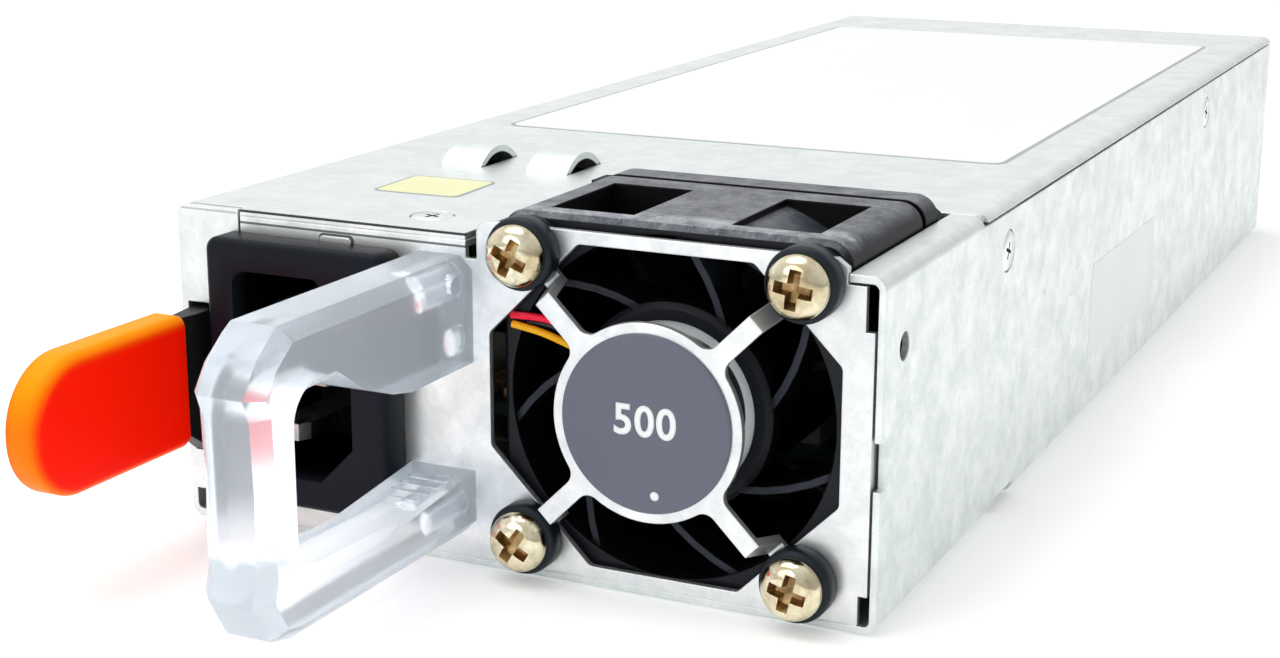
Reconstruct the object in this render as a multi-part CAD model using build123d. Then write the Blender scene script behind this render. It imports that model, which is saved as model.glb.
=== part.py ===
from build123d import *
import math
import os

# Hot swap server power supply: a long sheet steel case with a cooling fan, a mains inlet,
# a pull handle and a release latch at the front, and a card edge connector at the rear.
# Sizes are millimetres. X runs across the case, Y from front to rear and Z up.
# The origin is the centre of the case's bottom face.

# Case
case_width = 86.4
case_height = 38.0
case_length = 225.0
sheet = 0.8
bend_radius = 1.5
sheet_gap = 0.3
lip_height = 1.0

# Front panel
front_tab_width = 8.5
front_tab_low = 3.4
front_tab_drop = 0.1
panel_flange = 6.0
panel_notch_width = 1.0
panel_notch_low = 4.1
panel_notch_drop = 5.0
fan_plate_side = 2.3
fan_plate_rise = 1.5
fan_plate_shoulder = 3.0
fan_plate_corner = 1.3
relief_slot = 1.4
relief_depth = 2.0

# Fan
fan_size = 40.0
fan_depth = 28.0
fan_from_right = 24.3
fan_hole_inset = 4.0
fan_corner_radius = 2.6
fan_duct_wall = 1.1
fan_front_flange = 3.0
fan_front_chamfer = 0.6
fan_post = 4.5
fan_land = 11.2
fan_window_end = 18.5
fan_window_depth = 6.5
fan_groove_start = 22.6
fan_groove_width = 1.2
fan_groove_depth = 1.0
fan_hole_depth = 5.0
fan_screw_radius = 1.5
fan_screw_length = 8.0
screw_clearance = 0.1
screw_head_radius = 3.4
screw_head_height = 2.1
motor_radius = 11.0
motor_rim = 1.3
motor_depth = 3.4
cup_flare = 0.6
rotor_tip_gap = 0.6
rotor_hub_wall = 1.0
rotor_start = 4.1
rotor_end = 25.0
rotor_blades = 7
blade_thickness = 0.9
blade_lean_hub = 38.0
blade_lean_tip = 56.0
guide_vanes = 7
vane_thickness = 0.8
vane_lean = 44.0
vane_first = 3.0
vane_steps = 5
vane_depth = 6.5
shaft_radius = 1.5
bearing_radius = 3.0
bearing_length = 3.0
bearing_clearance = 0.05
bearing_tube_wall = 1.1
bearing_tube_end = 18.5
wire_radius = 0.55

# Rubber isolators between the fan and the front panel
grommet_radius = 4.0
grommet_front = 2.5
grommet_back = 0.7
grommet_neck = 2.5

# Wire guard stamped in the front panel, with a dished hub
guard_left_reach = 0.9
guard_right_inset = 0.1
guard_top_inset = 2.7
guard_bottom_inset = 1.4
guard_cut_inset = 3.3
guard_margin = 0.9
guard_spoke_flat = 6.3
guard_slope_run = 1.2
guard_spoke_width = 2.1
guard_dish = 4.2
guard_bend_inset = 1.7
guard_root_fillet = 1.5
badge_margin = 1.1
badge_thickness = 0.4

# Mains inlet, turned on its side
inlet_left = 6.5
inlet_rise = 1.0
inlet_width = 23.7
inlet_height = 30.8
inlet_flange = 4.0
inlet_body_margin = 2.0
inlet_body_depth = 19.0
inlet_corner = 1.6
socket_shift = 0.5
socket_width = 15.5
socket_height = 23.6
socket_depth = 17.0
socket_chamfer = 4.4
socket_corner = 1.8
blade_width = 4.0
blade_gauge = 2.0
blade_pitch = 14.0
blade_offset = 4.0
blade_reach = 15.0
panel_clearance = 0.3
strap_gauge = 0.8

# Pull handle
handle_plate_gap = 0.6
handle_width = 8.2
handle_reach = 38.8
handle_drop = 2.5
handle_low = 3.8
handle_chamfer = 1.5
grip_depth = 5.6
upper_arm_depth = 7.0
lower_arm_depth = 6.4
lamp_block_drop = 11.9
lamp_block_reach = 12.9
lamp_block_nose = 25.2
lamp_block_slope = 22.0
handle_screw_radius = 1.25
handle_screw_depth = 8.0
handle_lamp_radius = 1.5
light_steps = 6
light_step_pitch = 1.9
light_step_depth = 0.7

# Release latch
latch_pivot_x = 4.3
latch_pivot_y = 30.0
latch_pin_radius = 1.0
latch_boss_radius = 2.7
latch_arm_left = 1.5
latch_arm_thickness = 2.7
latch_arm_low = 8.8
latch_arm_high = 25.8
latch_neck_low = 12.2
latch_neck_high = 21.8
latch_travel = 3.5
tooth_reach = 1.2
tooth_front = 3.6
tooth_flat = 1.4
tooth_back = 10.4
paddle_left = 1.0
paddle_thickness = 4.0
paddle_reach = 31.8
paddle_upper_round = 8.0
paddle_lower_round = 7.2
paddle_start = 5.3
paddle_low = 10.8
paddle_high = 26.4
paddle_tongue = 15.0
slot_clearance = 0.6

# Top cover
fan_notch_side = 3.7
fan_notch_gap = 4.3
fan_seal_drop = 1.9
cover_screw_radius = 1.5
cover_screw_head = 2.5
cover_screw_length = 3.6
roof_screw_from_left = 30.4
roof_screw_from_front = 6.5
side_screw_drop = 6.0
side_screw_front = 44.0
side_screw_rear = 62.0
cover_tab_half = 6.0
bridge_width = 5.8
bridge_length = 9.6
bridge_rise = 2.1
bridge_front = 35.2
bridge_first = 14.4
bridge_pitch = 12.2

# Air slots in the rear panel
vent_columns = 5
vent_rows = 5
vent_width = 11.0
vent_height = 2.6
vent_pitch_x = 15.2
vent_pitch_z = 4.9
vent_low = 12.5

# Circuit board and its card edge tongue
board_thickness = 1.6
board_low = 5.0
board_front = 37.0
board_side_gap = 1.2
board_rear_gap = 1.5
tongue_left = 16.0
tongue_width = 50.0
tongue_reach = 8.5
finger_gauge = 0.1
board_step_width = 8.0
board_step_length = 16.0
standoff_radius = 2.5
insulator_gauge = 0.4

# Parts on the board, from the case's sides and ends and below its roof
tall_part_gap = 3.0
bulk_capacitor_side = 5.7
bulk_sink_gap = 0.1
bulk_capacitor_front = 92.0
bulk_capacitor_rear = 87.0
output_capacitor_pitch = 12.0
output_capacitor_rear = 16.0
winding_sides = 18
winding_bevel = 1.6
transformer_left = 20.5
transformer_rear = 61.0
transformer_half_width = 16.0
transformer_gap = 3.6
core_yoke = 4.5
output_sink_right = 34.4
sink_base = 2.4
sink_fins = 5
fin_reach = 6.5
fin_gauge = 1.2
transistor_width = 10.0
transistor_gauge = 4.6
inlet_board_gauge = 1.6

# Edges and levels that follow from the sizes above
left = -case_width / 2
right = case_width / 2
front = -case_length / 2
rear = case_length / 2
floor_top = sheet
roof_under = case_height - sheet
inner_left = left + sheet
inner_right = right - sheet
lip_low = case_height - lip_height
wall_high = lip_low - sheet_gap
panel_left = left + front_tab_width + sheet_gap
panel_right = inner_right - sheet_gap
panel_back = front + sheet
fan_x = right - fan_from_right
fan_z = floor_top + fan_size / 2
fan_left = fan_x - fan_size / 2
fan_right = fan_x + fan_size / 2
fan_front = panel_back + grommet_back
fan_back = fan_front + fan_depth
fan_hole_pitch = fan_size - 2 * fan_hole_inset
fan_bore_radius = fan_size / 2 - fan_duct_wall
plate_left = fan_left - fan_plate_side
guard_left = fan_size / 2 + guard_left_reach
guard_right = fan_size / 2 - guard_right_inset
guard_up = fan_size / 2 - guard_top_inset
guard_down = fan_size / 2 - guard_bottom_inset
guard_cut = fan_hole_pitch - guard_cut_inset * math.sqrt(2)
guard_bend_radius = fan_size / 2 - guard_bend_inset
guard_hub_radius = guard_bend_radius - guard_slope_run - guard_spoke_flat
badge_radius = guard_hub_radius - badge_margin
fan_plate_top = max(case_height + fan_plate_rise, fan_z + guard_up + guard_margin)
fan_holes = [(fan_x + i * fan_hole_pitch / 2, fan_z + j * fan_hole_pitch / 2)
             for i in (-1, 1) for j in (-1, 1)]
board_top = board_low + board_thickness
inlet_x = left + inlet_left + inlet_width / 2
inlet_z = (floor_top + roof_under) / 2 + inlet_rise
socket_x = inlet_x - socket_shift
inlet_body_back = front + inlet_body_depth
handle_x = plate_left - handle_plate_gap - handle_width / 2
handle_top = case_height - handle_drop
lamp_block_low = handle_top - lamp_block_drop
upper_screw_z = handle_top - upper_arm_depth / 2
lower_screw_z = handle_low + lower_arm_depth / 2
lamp_z = (lamp_block_low + handle_top - upper_arm_depth) / 2
pivot_x = left + latch_pivot_x
pivot_y = front + latch_pivot_y
side_screw_z = case_height - side_screw_drop
side_screw_y = (front + side_screw_front, rear - side_screw_rear)
roof_screw = (left + roof_screw_from_left, front + roof_screw_from_front)
notch_x = fan_left - fan_notch_side
notch_y = fan_back + fan_notch_gap
tongue_back = rear + tongue_reach
board_left = inner_left + sheet + board_side_gap
board_right = inner_right - sheet - board_side_gap
room_height = roof_under - board_top
bulk_radius = (room_height - tall_part_gap) / 2
mains_sink_left = bulk_capacitor_side + 2 * bulk_radius + bulk_sink_gap + transistor_gauge


def face_of(*points):
    """A flat face inside straight edges."""
    return make_face(Polyline(*points, close=True))


def rounded(face, radius, *corners):
    """Round the corners of a face nearest to the given points, or all of its corners."""
    chosen = face.vertices()
    if corners:
        chosen = [min(face.vertices(), key=lambda v: math.dist((v.X, v.Y), point)) for point in corners]
    return fillet(chosen, radius)


def block(x, y, z):
    """A rectangular block between the low and high edges given along each axis."""
    size = (x[1] - x[0], y[1] - y[0], z[1] - z[0])
    return Pos((x[0] + x[1]) / 2, (y[0] + y[1]) / 2, (z[0] + z[1]) / 2) * Box(*size)


def along_x(face, start, end):
    """Extrude a face drawn in Y and Z from one X to another."""
    return extrude(Plane(origin=(start, 0, 0), x_dir=(0, 1, 0), z_dir=(1, 0, 0)) * face, amount=end - start)


def along_y(face, start, end):
    """Extrude a face drawn in X and Z from one Y to another."""
    plane = Plane(origin=(0, start, 0), x_dir=(1, 0, 0), z_dir=(0, -1, 0))
    return extrude(plane * face, amount=start - end)


def along_z(face, start, end):
    """Extrude a face drawn in X and Y from one Z to another."""
    return extrude(Plane.XY.offset(start) * face, amount=end - start)


def round_bar(x, z, radius, start, end):
    """A round bar along Y."""
    return along_y(Pos(x, z) * Circle(radius), start, end)


def ring(x, z, outer, inner, start, end):
    """A round ring about a line along Y."""
    return along_y(Pos(x, z) * (Circle(outer) - Circle(inner)), start, end)


def turned(x, z, profile):
    """Turn a profile of radius and Y about the line along Y through x and z."""
    return revolve(Plane.XY.offset(z) * Pos(x, 0) * face_of(*profile), axis=Axis((x, 0, z), (0, 1, 0)))


def group(solids):
    """Separate solids that share one node."""
    return Compound(children=list(solids))


def chassis_tray():
    """Bottom tray: floor and two walls folded from one sheet, with a tab folded across the front."""
    outer = Pos(0, case_height) * RectangleRounded(case_width, 2 * case_height, bend_radius)
    inner = Pos(0, case_height + sheet) * RectangleRounded(
        case_width - 2 * sheet, 2 * case_height, bend_radius - sheet)
    below_lip = Pos(0, wall_high / 2) * Rectangle(case_width, wall_high)
    below_roof = Pos(0, roof_under / 2) * Rectangle(case_width, roof_under)
    tray = along_y((outer - inner) & below_lip, front, rear)

    # Beside the fan the right wall is full height, with its top folded in level with the roof
    folded = outer - inner
    folded = mirror(folded, Plane.XZ.offset(-case_height / 2))
    flange_left = fan_right + sheet_gap
    corner = along_y(folded, front, notch_y - sheet_gap) & block(
        (flange_left, right), (front, rear), (case_height / 2, case_height))
    tray += corner
    # The left wall ends in a tab folded across the front
    tab_top = case_height - front_tab_drop
    tab_right = left + front_tab_width
    tab_face = face_of(
        (left, front_tab_low), (tab_right, front_tab_low), (tab_right, tab_top), (left, tab_top))
    tab_face = rounded(tab_face, bend_radius, (left, tab_top))
    tray += along_y(tab_face, front, panel_back)
    tray += block((left, inner_left), (front, front + 3.0), (floor_top, case_height - bend_radius))

    # Slot for the latch lever, window for its tooth, and holes and notches in the walls
    lever_right = left + latch_arm_left + latch_arm_thickness
    lever_swing = latch_pivot_y * math.sin(math.radians(latch_travel))
    slot_x = (left + latch_arm_left - slot_clearance, lever_right + lever_swing + slot_clearance)
    slot_z = (latch_arm_low - slot_clearance, latch_arm_high + slot_clearance)
    tray -= block(slot_x, (front - 1, panel_back + 1), slot_z)
    window_y = (front + tooth_front - slot_clearance, front + tooth_back + slot_clearance)
    window_z = (latch_neck_low - slot_clearance, latch_neck_high + slot_clearance)
    tray -= block((left - 1, inner_left + 0.01), window_y, window_z)
    side_hole = Pos(front + 6.1, 29.6) * Circle(1.55)
    tray -= along_x(side_hole, inner_right - 1, right + 1)
    tray -= block((inner_right - 1, right + 1), (front - 1, front + 1.4), (15.6, 20.8))
    tray -= block((inner_right - 1, right + 1), (front + 42.6, front + 50.6), (-1, 1.6))
    for y in side_screw_y:
        seat = Pos(y, side_screw_z) * Circle(cover_screw_head + screw_clearance)
        tray -= along_x(seat, left - 1, right + 1)
    return tray


def front_panel():
    """Front panel: one sheet with the inlet and handle holes and the stamped fan guard."""
    plate_left_top = (plate_left, fan_plate_top)
    shoulder = panel_right - fan_plate_shoulder
    notch_high = roof_under - panel_notch_drop
    sheet_face = face_of(
        (panel_left, floor_top), (panel_right - panel_notch_width, floor_top),
        (panel_right - panel_notch_width, panel_notch_low), (panel_right, panel_notch_low),
        (panel_right, notch_high), (panel_right - panel_notch_width, notch_high),
        (panel_right - panel_notch_width, roof_under - sheet_gap), (shoulder, roof_under - sheet_gap),
        (shoulder, fan_plate_top - 0.9), (shoulder - 1.2, fan_plate_top),
        plate_left_top, (plate_left, roof_under - relief_depth),
        (plate_left - relief_slot, roof_under - relief_depth), (plate_left - relief_slot, roof_under),
        (panel_left, roof_under))
    sheet_face = rounded(sheet_face, fan_plate_corner, plate_left_top)

    # Inlet cut-out, open towards the side tab
    body_half_x = inlet_width / 2 - inlet_body_margin + panel_clearance
    body_half_z = inlet_height / 2 - inlet_body_margin + panel_clearance
    cut_left = panel_left - 1
    cut = face_of((cut_left, inlet_z - body_half_z), (inlet_x + body_half_x, inlet_z - body_half_z),
                  (inlet_x + body_half_x, inlet_z + body_half_z), (cut_left, inlet_z + body_half_z))
    sheet_face -= cut

    # Fan opening: a rectangle with its corners cut off
    opening = face_of(
        (-guard_left, guard_left - guard_cut), (guard_down - guard_cut, -guard_down),
        (guard_cut - guard_down, -guard_down), (guard_right, guard_right - guard_cut),
        (guard_right, guard_cut - guard_right), (guard_cut - guard_up, guard_up),
        (guard_up - guard_cut, guard_up), (-guard_left, guard_cut - guard_left))
    sheet_face -= Pos(fan_x, fan_z) * fillet(opening.vertices(), 1.0)
    for x, z in fan_holes:
        sheet_face -= Pos(x, z) * Circle(grommet_neck)
    for z in (upper_screw_z, lower_screw_z):
        sheet_face -= Pos(handle_x, z) * Circle(handle_screw_radius + screw_clearance)
    sheet_face -= Pos(handle_x, lamp_z) * Circle(handle_lamp_radius + screw_clearance)
    panel = along_y(sheet_face, front, panel_back)

    # Flanges folded back along the roof, the floor and the right wall
    roof_right = plate_left - relief_slot
    roof_flange = (front, roof_screw[1] + cover_screw_head)
    panel += block((panel_left + 1.0, roof_right), roof_flange, (roof_under - sheet, roof_under))
    panel -= along_z(Pos(*roof_screw) * Circle(cover_screw_radius), roof_under - 2, roof_under + 1)
    floor_right = fan_left - 1.0
    panel += block(
        (inlet_x + body_half_x, floor_right), (front, front + panel_flange), (floor_top, floor_top + sheet))
    panel += block((panel_right - sheet, panel_right), (front, front + panel_flange), (6.0, 28.0))
    panel -= along_x(Pos(front + 6.1, 29.6) * Circle(2.2), panel_right - 1, panel_right + 1)

    # Guard: flat hub held in front of the opening by four sloping spokes
    hub_face = Circle(guard_hub_radius)
    reach = guard_bend_radius - guard_slope_run
    for angle in (45, 135, 225, 315):
        spoke = Pos(reach / 2, 0) * Rectangle(reach, guard_spoke_width)
        hub_face += Rot(0, 0, angle) * spoke
    root = [v for v in hub_face.vertices() if abs(math.hypot(v.X, v.Y) - guard_hub_radius) < 0.01]
    hub_face = fillet(root, guard_root_fillet)
    panel += along_y(Pos(fan_x, fan_z) * hub_face, front - guard_dish, front - guard_dish + sheet)
    crest = front - guard_dish
    slope = face_of(
        (reach - 1.2, crest), (reach, crest), (guard_bend_radius, front), (guard_bend_radius + 1.5, front),
        (guard_bend_radius + 1.5, panel_back), (guard_bend_radius - 0.8, panel_back),
        (reach - 0.8, crest + sheet), (reach - 1.2, crest + sheet))
    leg = along_z(slope, -guard_spoke_width / 2, guard_spoke_width / 2)
    for angle in (45, 135, 225, 315):
        panel += Pos(fan_x, 0, fan_z) * Rot(0, angle, 0) * leg
    return panel


def top_cover():
    """Top cover: roof sheet with side lips, a notch for the fan and two raised bridges."""
    outer = RectangleRounded(case_width, 2 * case_height, bend_radius)
    inner = Pos(0, -sheet) * RectangleRounded(case_width - 2 * sheet, 2 * case_height, bend_radius - sheet)
    above_lip = Pos(0, case_height - lip_height / 2) * Rectangle(case_width, lip_height)
    cover = along_y((outer - inner) & above_lip, front, rear)
    cover -= block((notch_x, right + 1), (front - 1, notch_y), (0, case_height + 1))
    cover -= block((inner_right, right + 1), (front - 1, notch_y + 1.5), (0, case_height + 1))
    cover -= block((left - 1, left + front_tab_width + sheet_gap), (front - 1, panel_back + sheet_gap),
                   (0, case_height + 1))
    cover -= block(
        (left - 1, inner_left + 0.01), (front - 1, front + 3.0 + sheet_gap), (0, case_height + 1))

    # Tabs folded down inside the walls take the side screws
    for y in side_screw_y:
        for wall in (inner_left, inner_right - sheet):
            tab = block((wall, wall + sheet), (y - cover_tab_half, y + cover_tab_half),
                        (side_screw_z - cover_screw_head - 1.0, roof_under))
            cover += tab - along_x(Pos(y, side_screw_z) * Circle(cover_screw_radius), wall - 1, wall + 2)
    cover -= along_z(Pos(*roof_screw) * Circle(cover_screw_head + screw_clearance), 0, case_height + 1)

    # Lanced bridges: the sheet is slit, and the strip between the slits bowed up
    half = bridge_length / 2
    bow_radius = (half ** 2 + bridge_rise ** 2) / (2 * bridge_rise)
    for index in range(2):
        x = left + bridge_first + index * bridge_pitch
        y = front + bridge_front + half
        cover -= block((x - 0.2, x + bridge_width + 0.2), (y - half, y + half),
                       (roof_under - 1, case_height + 1))
        centre_z = case_height + bridge_rise - bow_radius
        bow = Pos(y, centre_z) * (Circle(bow_radius) - Circle(bow_radius - sheet))
        bow &= Pos(y, case_height + bridge_rise) * Rectangle(bridge_length + 1.2, 3 * bridge_rise)
        strip = along_x(bow, x, x + bridge_width)
        strip &= block((x, x + bridge_width), (y - half - 1, y + half + 1),
                       (roof_under, case_height + bridge_rise + 1))
        cover += strip
    return cover


def rear_panel():
    """Rear panel: a sheet with air slots and the opening for the card edge tongue."""
    low = floor_top
    high = roof_under
    side_gap = sheet + sheet_gap + sheet
    width = (left + side_gap, right - side_gap)
    panel = block(width, (rear - sheet, rear), (low, high))
    panel += block(width, (rear - panel_flange, rear), (high - sheet, high))
    for x in (left + tongue_left - 10.0, left + tongue_left + tongue_width + 2.0):
        panel += block((x, x + 8.0), (rear - panel_flange, rear), (low, low + sheet))
    tongue = (left + tongue_left - 1.0, left + tongue_left + tongue_width + 1.0)
    panel -= block(tongue, (rear - 2, rear + 1), (board_low - 1.0, board_top + 1.0))
    for column in range(vent_columns):
        for row in range(vent_rows):
            x = (column - (vent_columns - 1) / 2) * vent_pitch_x
            slot = Pos(x, vent_low + row * vent_pitch_z) * Rectangle(vent_width, vent_height)
            panel -= along_y(slot, rear - 2, rear + 1)
    return panel


def flush_screw(place):
    """A screw with its flat head flush in the sheet at place, pointing along +Z before it is placed."""
    profile = face_of((0, 0), (cover_screw_head, 0), (cover_screw_head, sheet), (cover_screw_radius, sheet),
                      (cover_screw_radius, cover_screw_length), (0, cover_screw_length))
    return place * revolve(Plane.XZ * profile, axis=Axis.Z)


def cover_screws():
    """Screws that hold the cover: one down through the roof and two in through each wall."""
    screws = [flush_screw(Pos(*roof_screw, case_height) * Rot(180, 0, 0))]
    for y in side_screw_y:
        screws.append(flush_screw(Pos(right, y, side_screw_z) * Rot(0, -90, 0)))
        screws.append(flush_screw(Pos(left, y, side_screw_z) * Rot(0, 90, 0)))
    return group(screws)


def inlet_housing():
    """Mains inlet housing: front flange, body and keyed socket."""
    flange = Pos(inlet_x, inlet_z) * RectangleRounded(inlet_width, inlet_height, inlet_corner)
    housing = along_y(flange, front - inlet_flange, front)
    housing = chamfer(housing.faces().sort_by(Axis.Y)[0].edges(), 0.5)
    margin = 2 * inlet_body_margin
    body = RectangleRounded(inlet_width - margin, inlet_height - margin, inlet_corner)
    housing += along_y(Pos(inlet_x, inlet_z) * body, front, inlet_body_back)
    cavity = socket_outline()
    socket_back = front - inlet_flange + socket_depth
    housing -= along_y(cavity, front - inlet_flange - 1, socket_back)
    for x, z in blade_places():
        housing -= block(*blade_box(x, z, (socket_back - 1, inlet_body_back + 1)))

    # Snap ears behind the panel's edge
    for z, side in ((inlet_z - inlet_height / 2 + inlet_body_margin, -1),
                    (inlet_z + inlet_height / 2 - inlet_body_margin, 1)):
        ear = face_of((panel_back + 0.1, z), (panel_back + 0.1, z + side * 1.0), (panel_back + 5.0, z))
        housing += along_x(ear, inlet_x - 3.0, inlet_x + 3.0)
    return housing


def socket_outline():
    """Keyed outline of the socket, with two corners cut off on the earth pin's side."""
    x0 = socket_x - socket_width / 2
    x1 = socket_x + socket_width / 2
    z0 = inlet_z - socket_height / 2
    z1 = inlet_z + socket_height / 2
    outline = face_of(
        (x0, z0), (x1 - socket_chamfer, z0), (x1, z0 + socket_chamfer),
        (x1, z1 - socket_chamfer), (x1 - socket_chamfer, z1), (x0, z1))
    return rounded(outline, socket_corner, (x0, z0), (x0, z1))


def blade_places():
    """Centres of the two power blades and the earth blade."""
    half = blade_pitch / 2
    return [(socket_x - blade_offset / 2, inlet_z + half), (socket_x - blade_offset / 2, inlet_z - half),
            (socket_x + blade_offset / 2, inlet_z)]


def blade_box(x, z, y):
    """Edges of one contact blade along each axis."""
    return ((x - blade_width / 2, x + blade_width / 2), y, (z - blade_gauge / 2, z + blade_gauge / 2))


def inlet_pins():
    """Three flat contact blades with tapered tips and solder tails."""
    blades = []
    tip = front - inlet_flange + socket_depth - blade_reach
    tail = inlet_body_back + 4.0
    half = blade_width / 2
    for x, z in blade_places():
        outline = face_of((x - 1.2, tip), (x + 1.2, tip), (x + half, tip + 1.4), (x + half, tail),
                          (x - half, tail), (x - half, tip + 1.4))
        blades.append(along_z(outline, z - blade_gauge / 2, z + blade_gauge / 2))
    return group(blades)


def handle():
    """Moulded pull handle: a closed loop standing on the panel, with a lamp block in its corner."""
    nose = front - handle_reach
    lip = 1.2
    profile = face_of(
        (front, handle_top), (nose + 4.6, handle_top), (nose + 1.2, handle_top - 2.6),
        (nose - lip, handle_top - 5.9), (nose - 0.3, handle_top - 8.3),
        (nose, (handle_low + handle_top) / 2), (nose - 0.3, handle_low + 7.8),
        (nose - lip + 0.2, handle_low + 5.2), (nose + 1.6, handle_low + 0.8),
        (nose + 4.8, handle_low), (front, handle_low))

    # Finger opening, with the lamp block sloping down into its upper rear corner
    inner_nose = nose + grip_depth
    inner_low = handle_low + lower_arm_depth
    inner_high = handle_top - upper_arm_depth
    opening = face_of(
        (front, inner_low + 0.9), (front - 13.0, inner_low - 0.4), (inner_nose, inner_low + 0.4),
        (inner_nose, inner_high), (front - lamp_block_nose, inner_high),
        (front - lamp_block_slope, inner_high - 2.1),
        (front - lamp_block_reach - 3.6, lamp_block_low + 0.7),
        (front - lamp_block_reach, lamp_block_low), (front, lamp_block_low))
    opening = rounded(opening, 3.2, (inner_nose, inner_low + 0.4), (inner_nose, inner_high))
    x0 = handle_x - handle_width / 2
    body = along_x(profile, x0, x0 + handle_width)
    body = chamfer(body.faces().sort_by(Axis.X)[0].edges().filter_by(
        lambda edge: edge.center().Y < front - 0.1), handle_chamfer)
    body = chamfer(body.faces().sort_by(Axis.X)[-1].edges().filter_by(
        lambda edge: edge.center().Y < front - 0.1), handle_chamfer)
    hole = along_x(opening, x0 - 1, x0 + handle_width + 1)
    loop = body - hole
    inner_edges = [e for e in loop.edges() if near_opening(e, x0, inner_nose, inner_low, inner_high)]
    loop = chamfer(inner_edges, 0.9)

    # Ribbed light guide on the lower arm
    for step in range(light_steps):
        y = front - 2.4 - step * light_step_pitch
        top = inner_low + 1.4
        groove_low = top - 1.0 - light_step_depth
        groove = face_of((y, top), (y - light_step_pitch / 2, groove_low), (y - light_step_pitch, top))
        loop -= along_x(groove, handle_x - 2.4, handle_x + 2.4)

    # Dimple on the right side, and blind holes for the two screws and the lamp
    dimple = Pos(front - 3.6, handle_top - 2.6) * Circle(1.0)
    loop -= along_x(dimple, x0 + handle_width - 1.2, x0 + handle_width + 1)
    for z in (upper_screw_z, lower_screw_z):
        loop -= round_bar(handle_x, z, handle_screw_radius, front - handle_screw_depth, front + 1)
    loop -= round_bar(handle_x, lamp_z, handle_lamp_radius, front - 2.0, front + 1)
    return loop


def near_opening(edge, x0, inner_nose, inner_low, inner_high):
    """True for the front and top edges of the finger opening on the handle's two flat sides."""
    middle = edge @ 0.5
    on_side = abs(middle.X - x0) < 0.01 or abs(middle.X - x0 - handle_width) < 0.01
    in_front = inner_nose - 0.1 < middle.Y < front - lamp_block_nose
    between = inner_low - 1.0 < middle.Z < inner_high + 0.1
    return on_side and in_front and between


def handle_screws():
    """Two screws from inside the panel into the handle's arms."""
    tip = front - handle_screw_depth + 0.5
    profile = (
        (0, tip), (handle_screw_radius, tip), (handle_screw_radius, panel_back), (2.3, panel_back),
        (2.3, panel_back + 1.5), (0, panel_back + 1.5))
    return group([turned(handle_x, z, profile) for z in (upper_screw_z, lower_screw_z)])


def status_lamp():
    """Small lamp pressed through the panel into the handle's lamp block."""
    return turned(handle_x, lamp_z, (
        (0, front - 1.7), (0.8, front - 1.5), (handle_lamp_radius, front - 0.8),
        (handle_lamp_radius, panel_back + 1.6), (0, panel_back + 1.6)))


def latch_lever():
    """Latch lever: a moulded arm with a pivot boss at its rear and a locking tooth on its side."""
    arm_x = left + latch_arm_left
    arm_right = arm_x + latch_arm_thickness
    tooth_x = left - tooth_reach
    tail = pivot_y + 6.0
    plan = face_of(
        (arm_x + 0.6, front - paddle_start), (arm_right - 0.4, front - paddle_start),
        (arm_right, front - 3.0), (arm_right, pivot_y - 6.0), (pivot_x + 1.0, pivot_y - 3.0),
        (pivot_x + 1.0, tail), (pivot_x - 0.8, tail), (pivot_x - 1.6, pivot_y - 6.0),
        (arm_x, pivot_y - 10.0), (arm_x, front + tooth_back), (tooth_x, front + tooth_front + tooth_flat),
        (tooth_x, front + tooth_front), (arm_x, front + tooth_front), (arm_x, front - 1.0))
    wide = (latch_arm_low, latch_arm_high)
    narrow = (latch_neck_low, latch_neck_high)
    side = face_of(
        (front - paddle_start, wide[0] + 3.2), (front - 1.0, wide[0]), (front + 12.0, wide[0]),
        (front + 17.0, narrow[0]), (tail, narrow[0]), (tail, narrow[1]), (front + 17.0, narrow[1]),
        (front + 12.0, wide[1]), (front - paddle_start, wide[1]))
    lever = along_z(plan, *wide) & along_x(side, tooth_x - 1, arm_right + 3)
    low = (tooth_x - 1, left + latch_arm_left - 0.001)
    lever -= block(low, (front, front + 20.0), (wide[0] - 1, narrow[0]))
    lever -= block(low, (front, front + 20.0), (narrow[1], wide[1] + 1))
    lever += along_z(Pos(pivot_x, pivot_y) * Circle(latch_boss_radius), *narrow)
    lever -= along_z(Pos(pivot_x, pivot_y) * Circle(latch_pin_radius + bearing_clearance), *narrow)

    # Tongue inside the coloured paddle
    tongue_x = tongue_span()
    lever += block(tongue_x, (front - paddle_start - paddle_tongue, front - paddle_start), (14.0, 23.0))
    return lever


def tongue_span():
    """Edges along X of the lever's tongue inside the paddle."""
    middle = left + paddle_left + paddle_thickness / 2
    return (middle - 0.8, middle + 0.8)


def latch_tab():
    """Coloured paddle that the fingers squeeze towards the handle."""
    start = front - paddle_start
    nose = front - paddle_reach
    outline = face_of(
        (start, paddle_low), (start, paddle_high), (nose, paddle_high), (nose, paddle_low))
    outline = rounded(outline, paddle_upper_round, (nose, paddle_high))
    outline = rounded(outline, paddle_lower_round, (nose, paddle_low))
    outline = rounded(outline, 1.4, (start, paddle_low), (start, paddle_high))
    x0 = left + paddle_left
    paddle = along_x(outline, x0, x0 + paddle_thickness)
    for edges in (paddle.faces().sort_by(Axis.X)[0].edges(), paddle.faces().sort_by(Axis.X)[-1].edges()):
        paddle = chamfer(edges, 0.8)
    tongue_x = tongue_span()
    pocket_y = (start - paddle_tongue - sheet_gap, start + 1.0)
    fit = 0.05
    paddle -= block((tongue_x[0] - fit, tongue_x[1] + fit), pocket_y, (14.0 - fit, 23.0 + fit))
    return paddle


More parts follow.
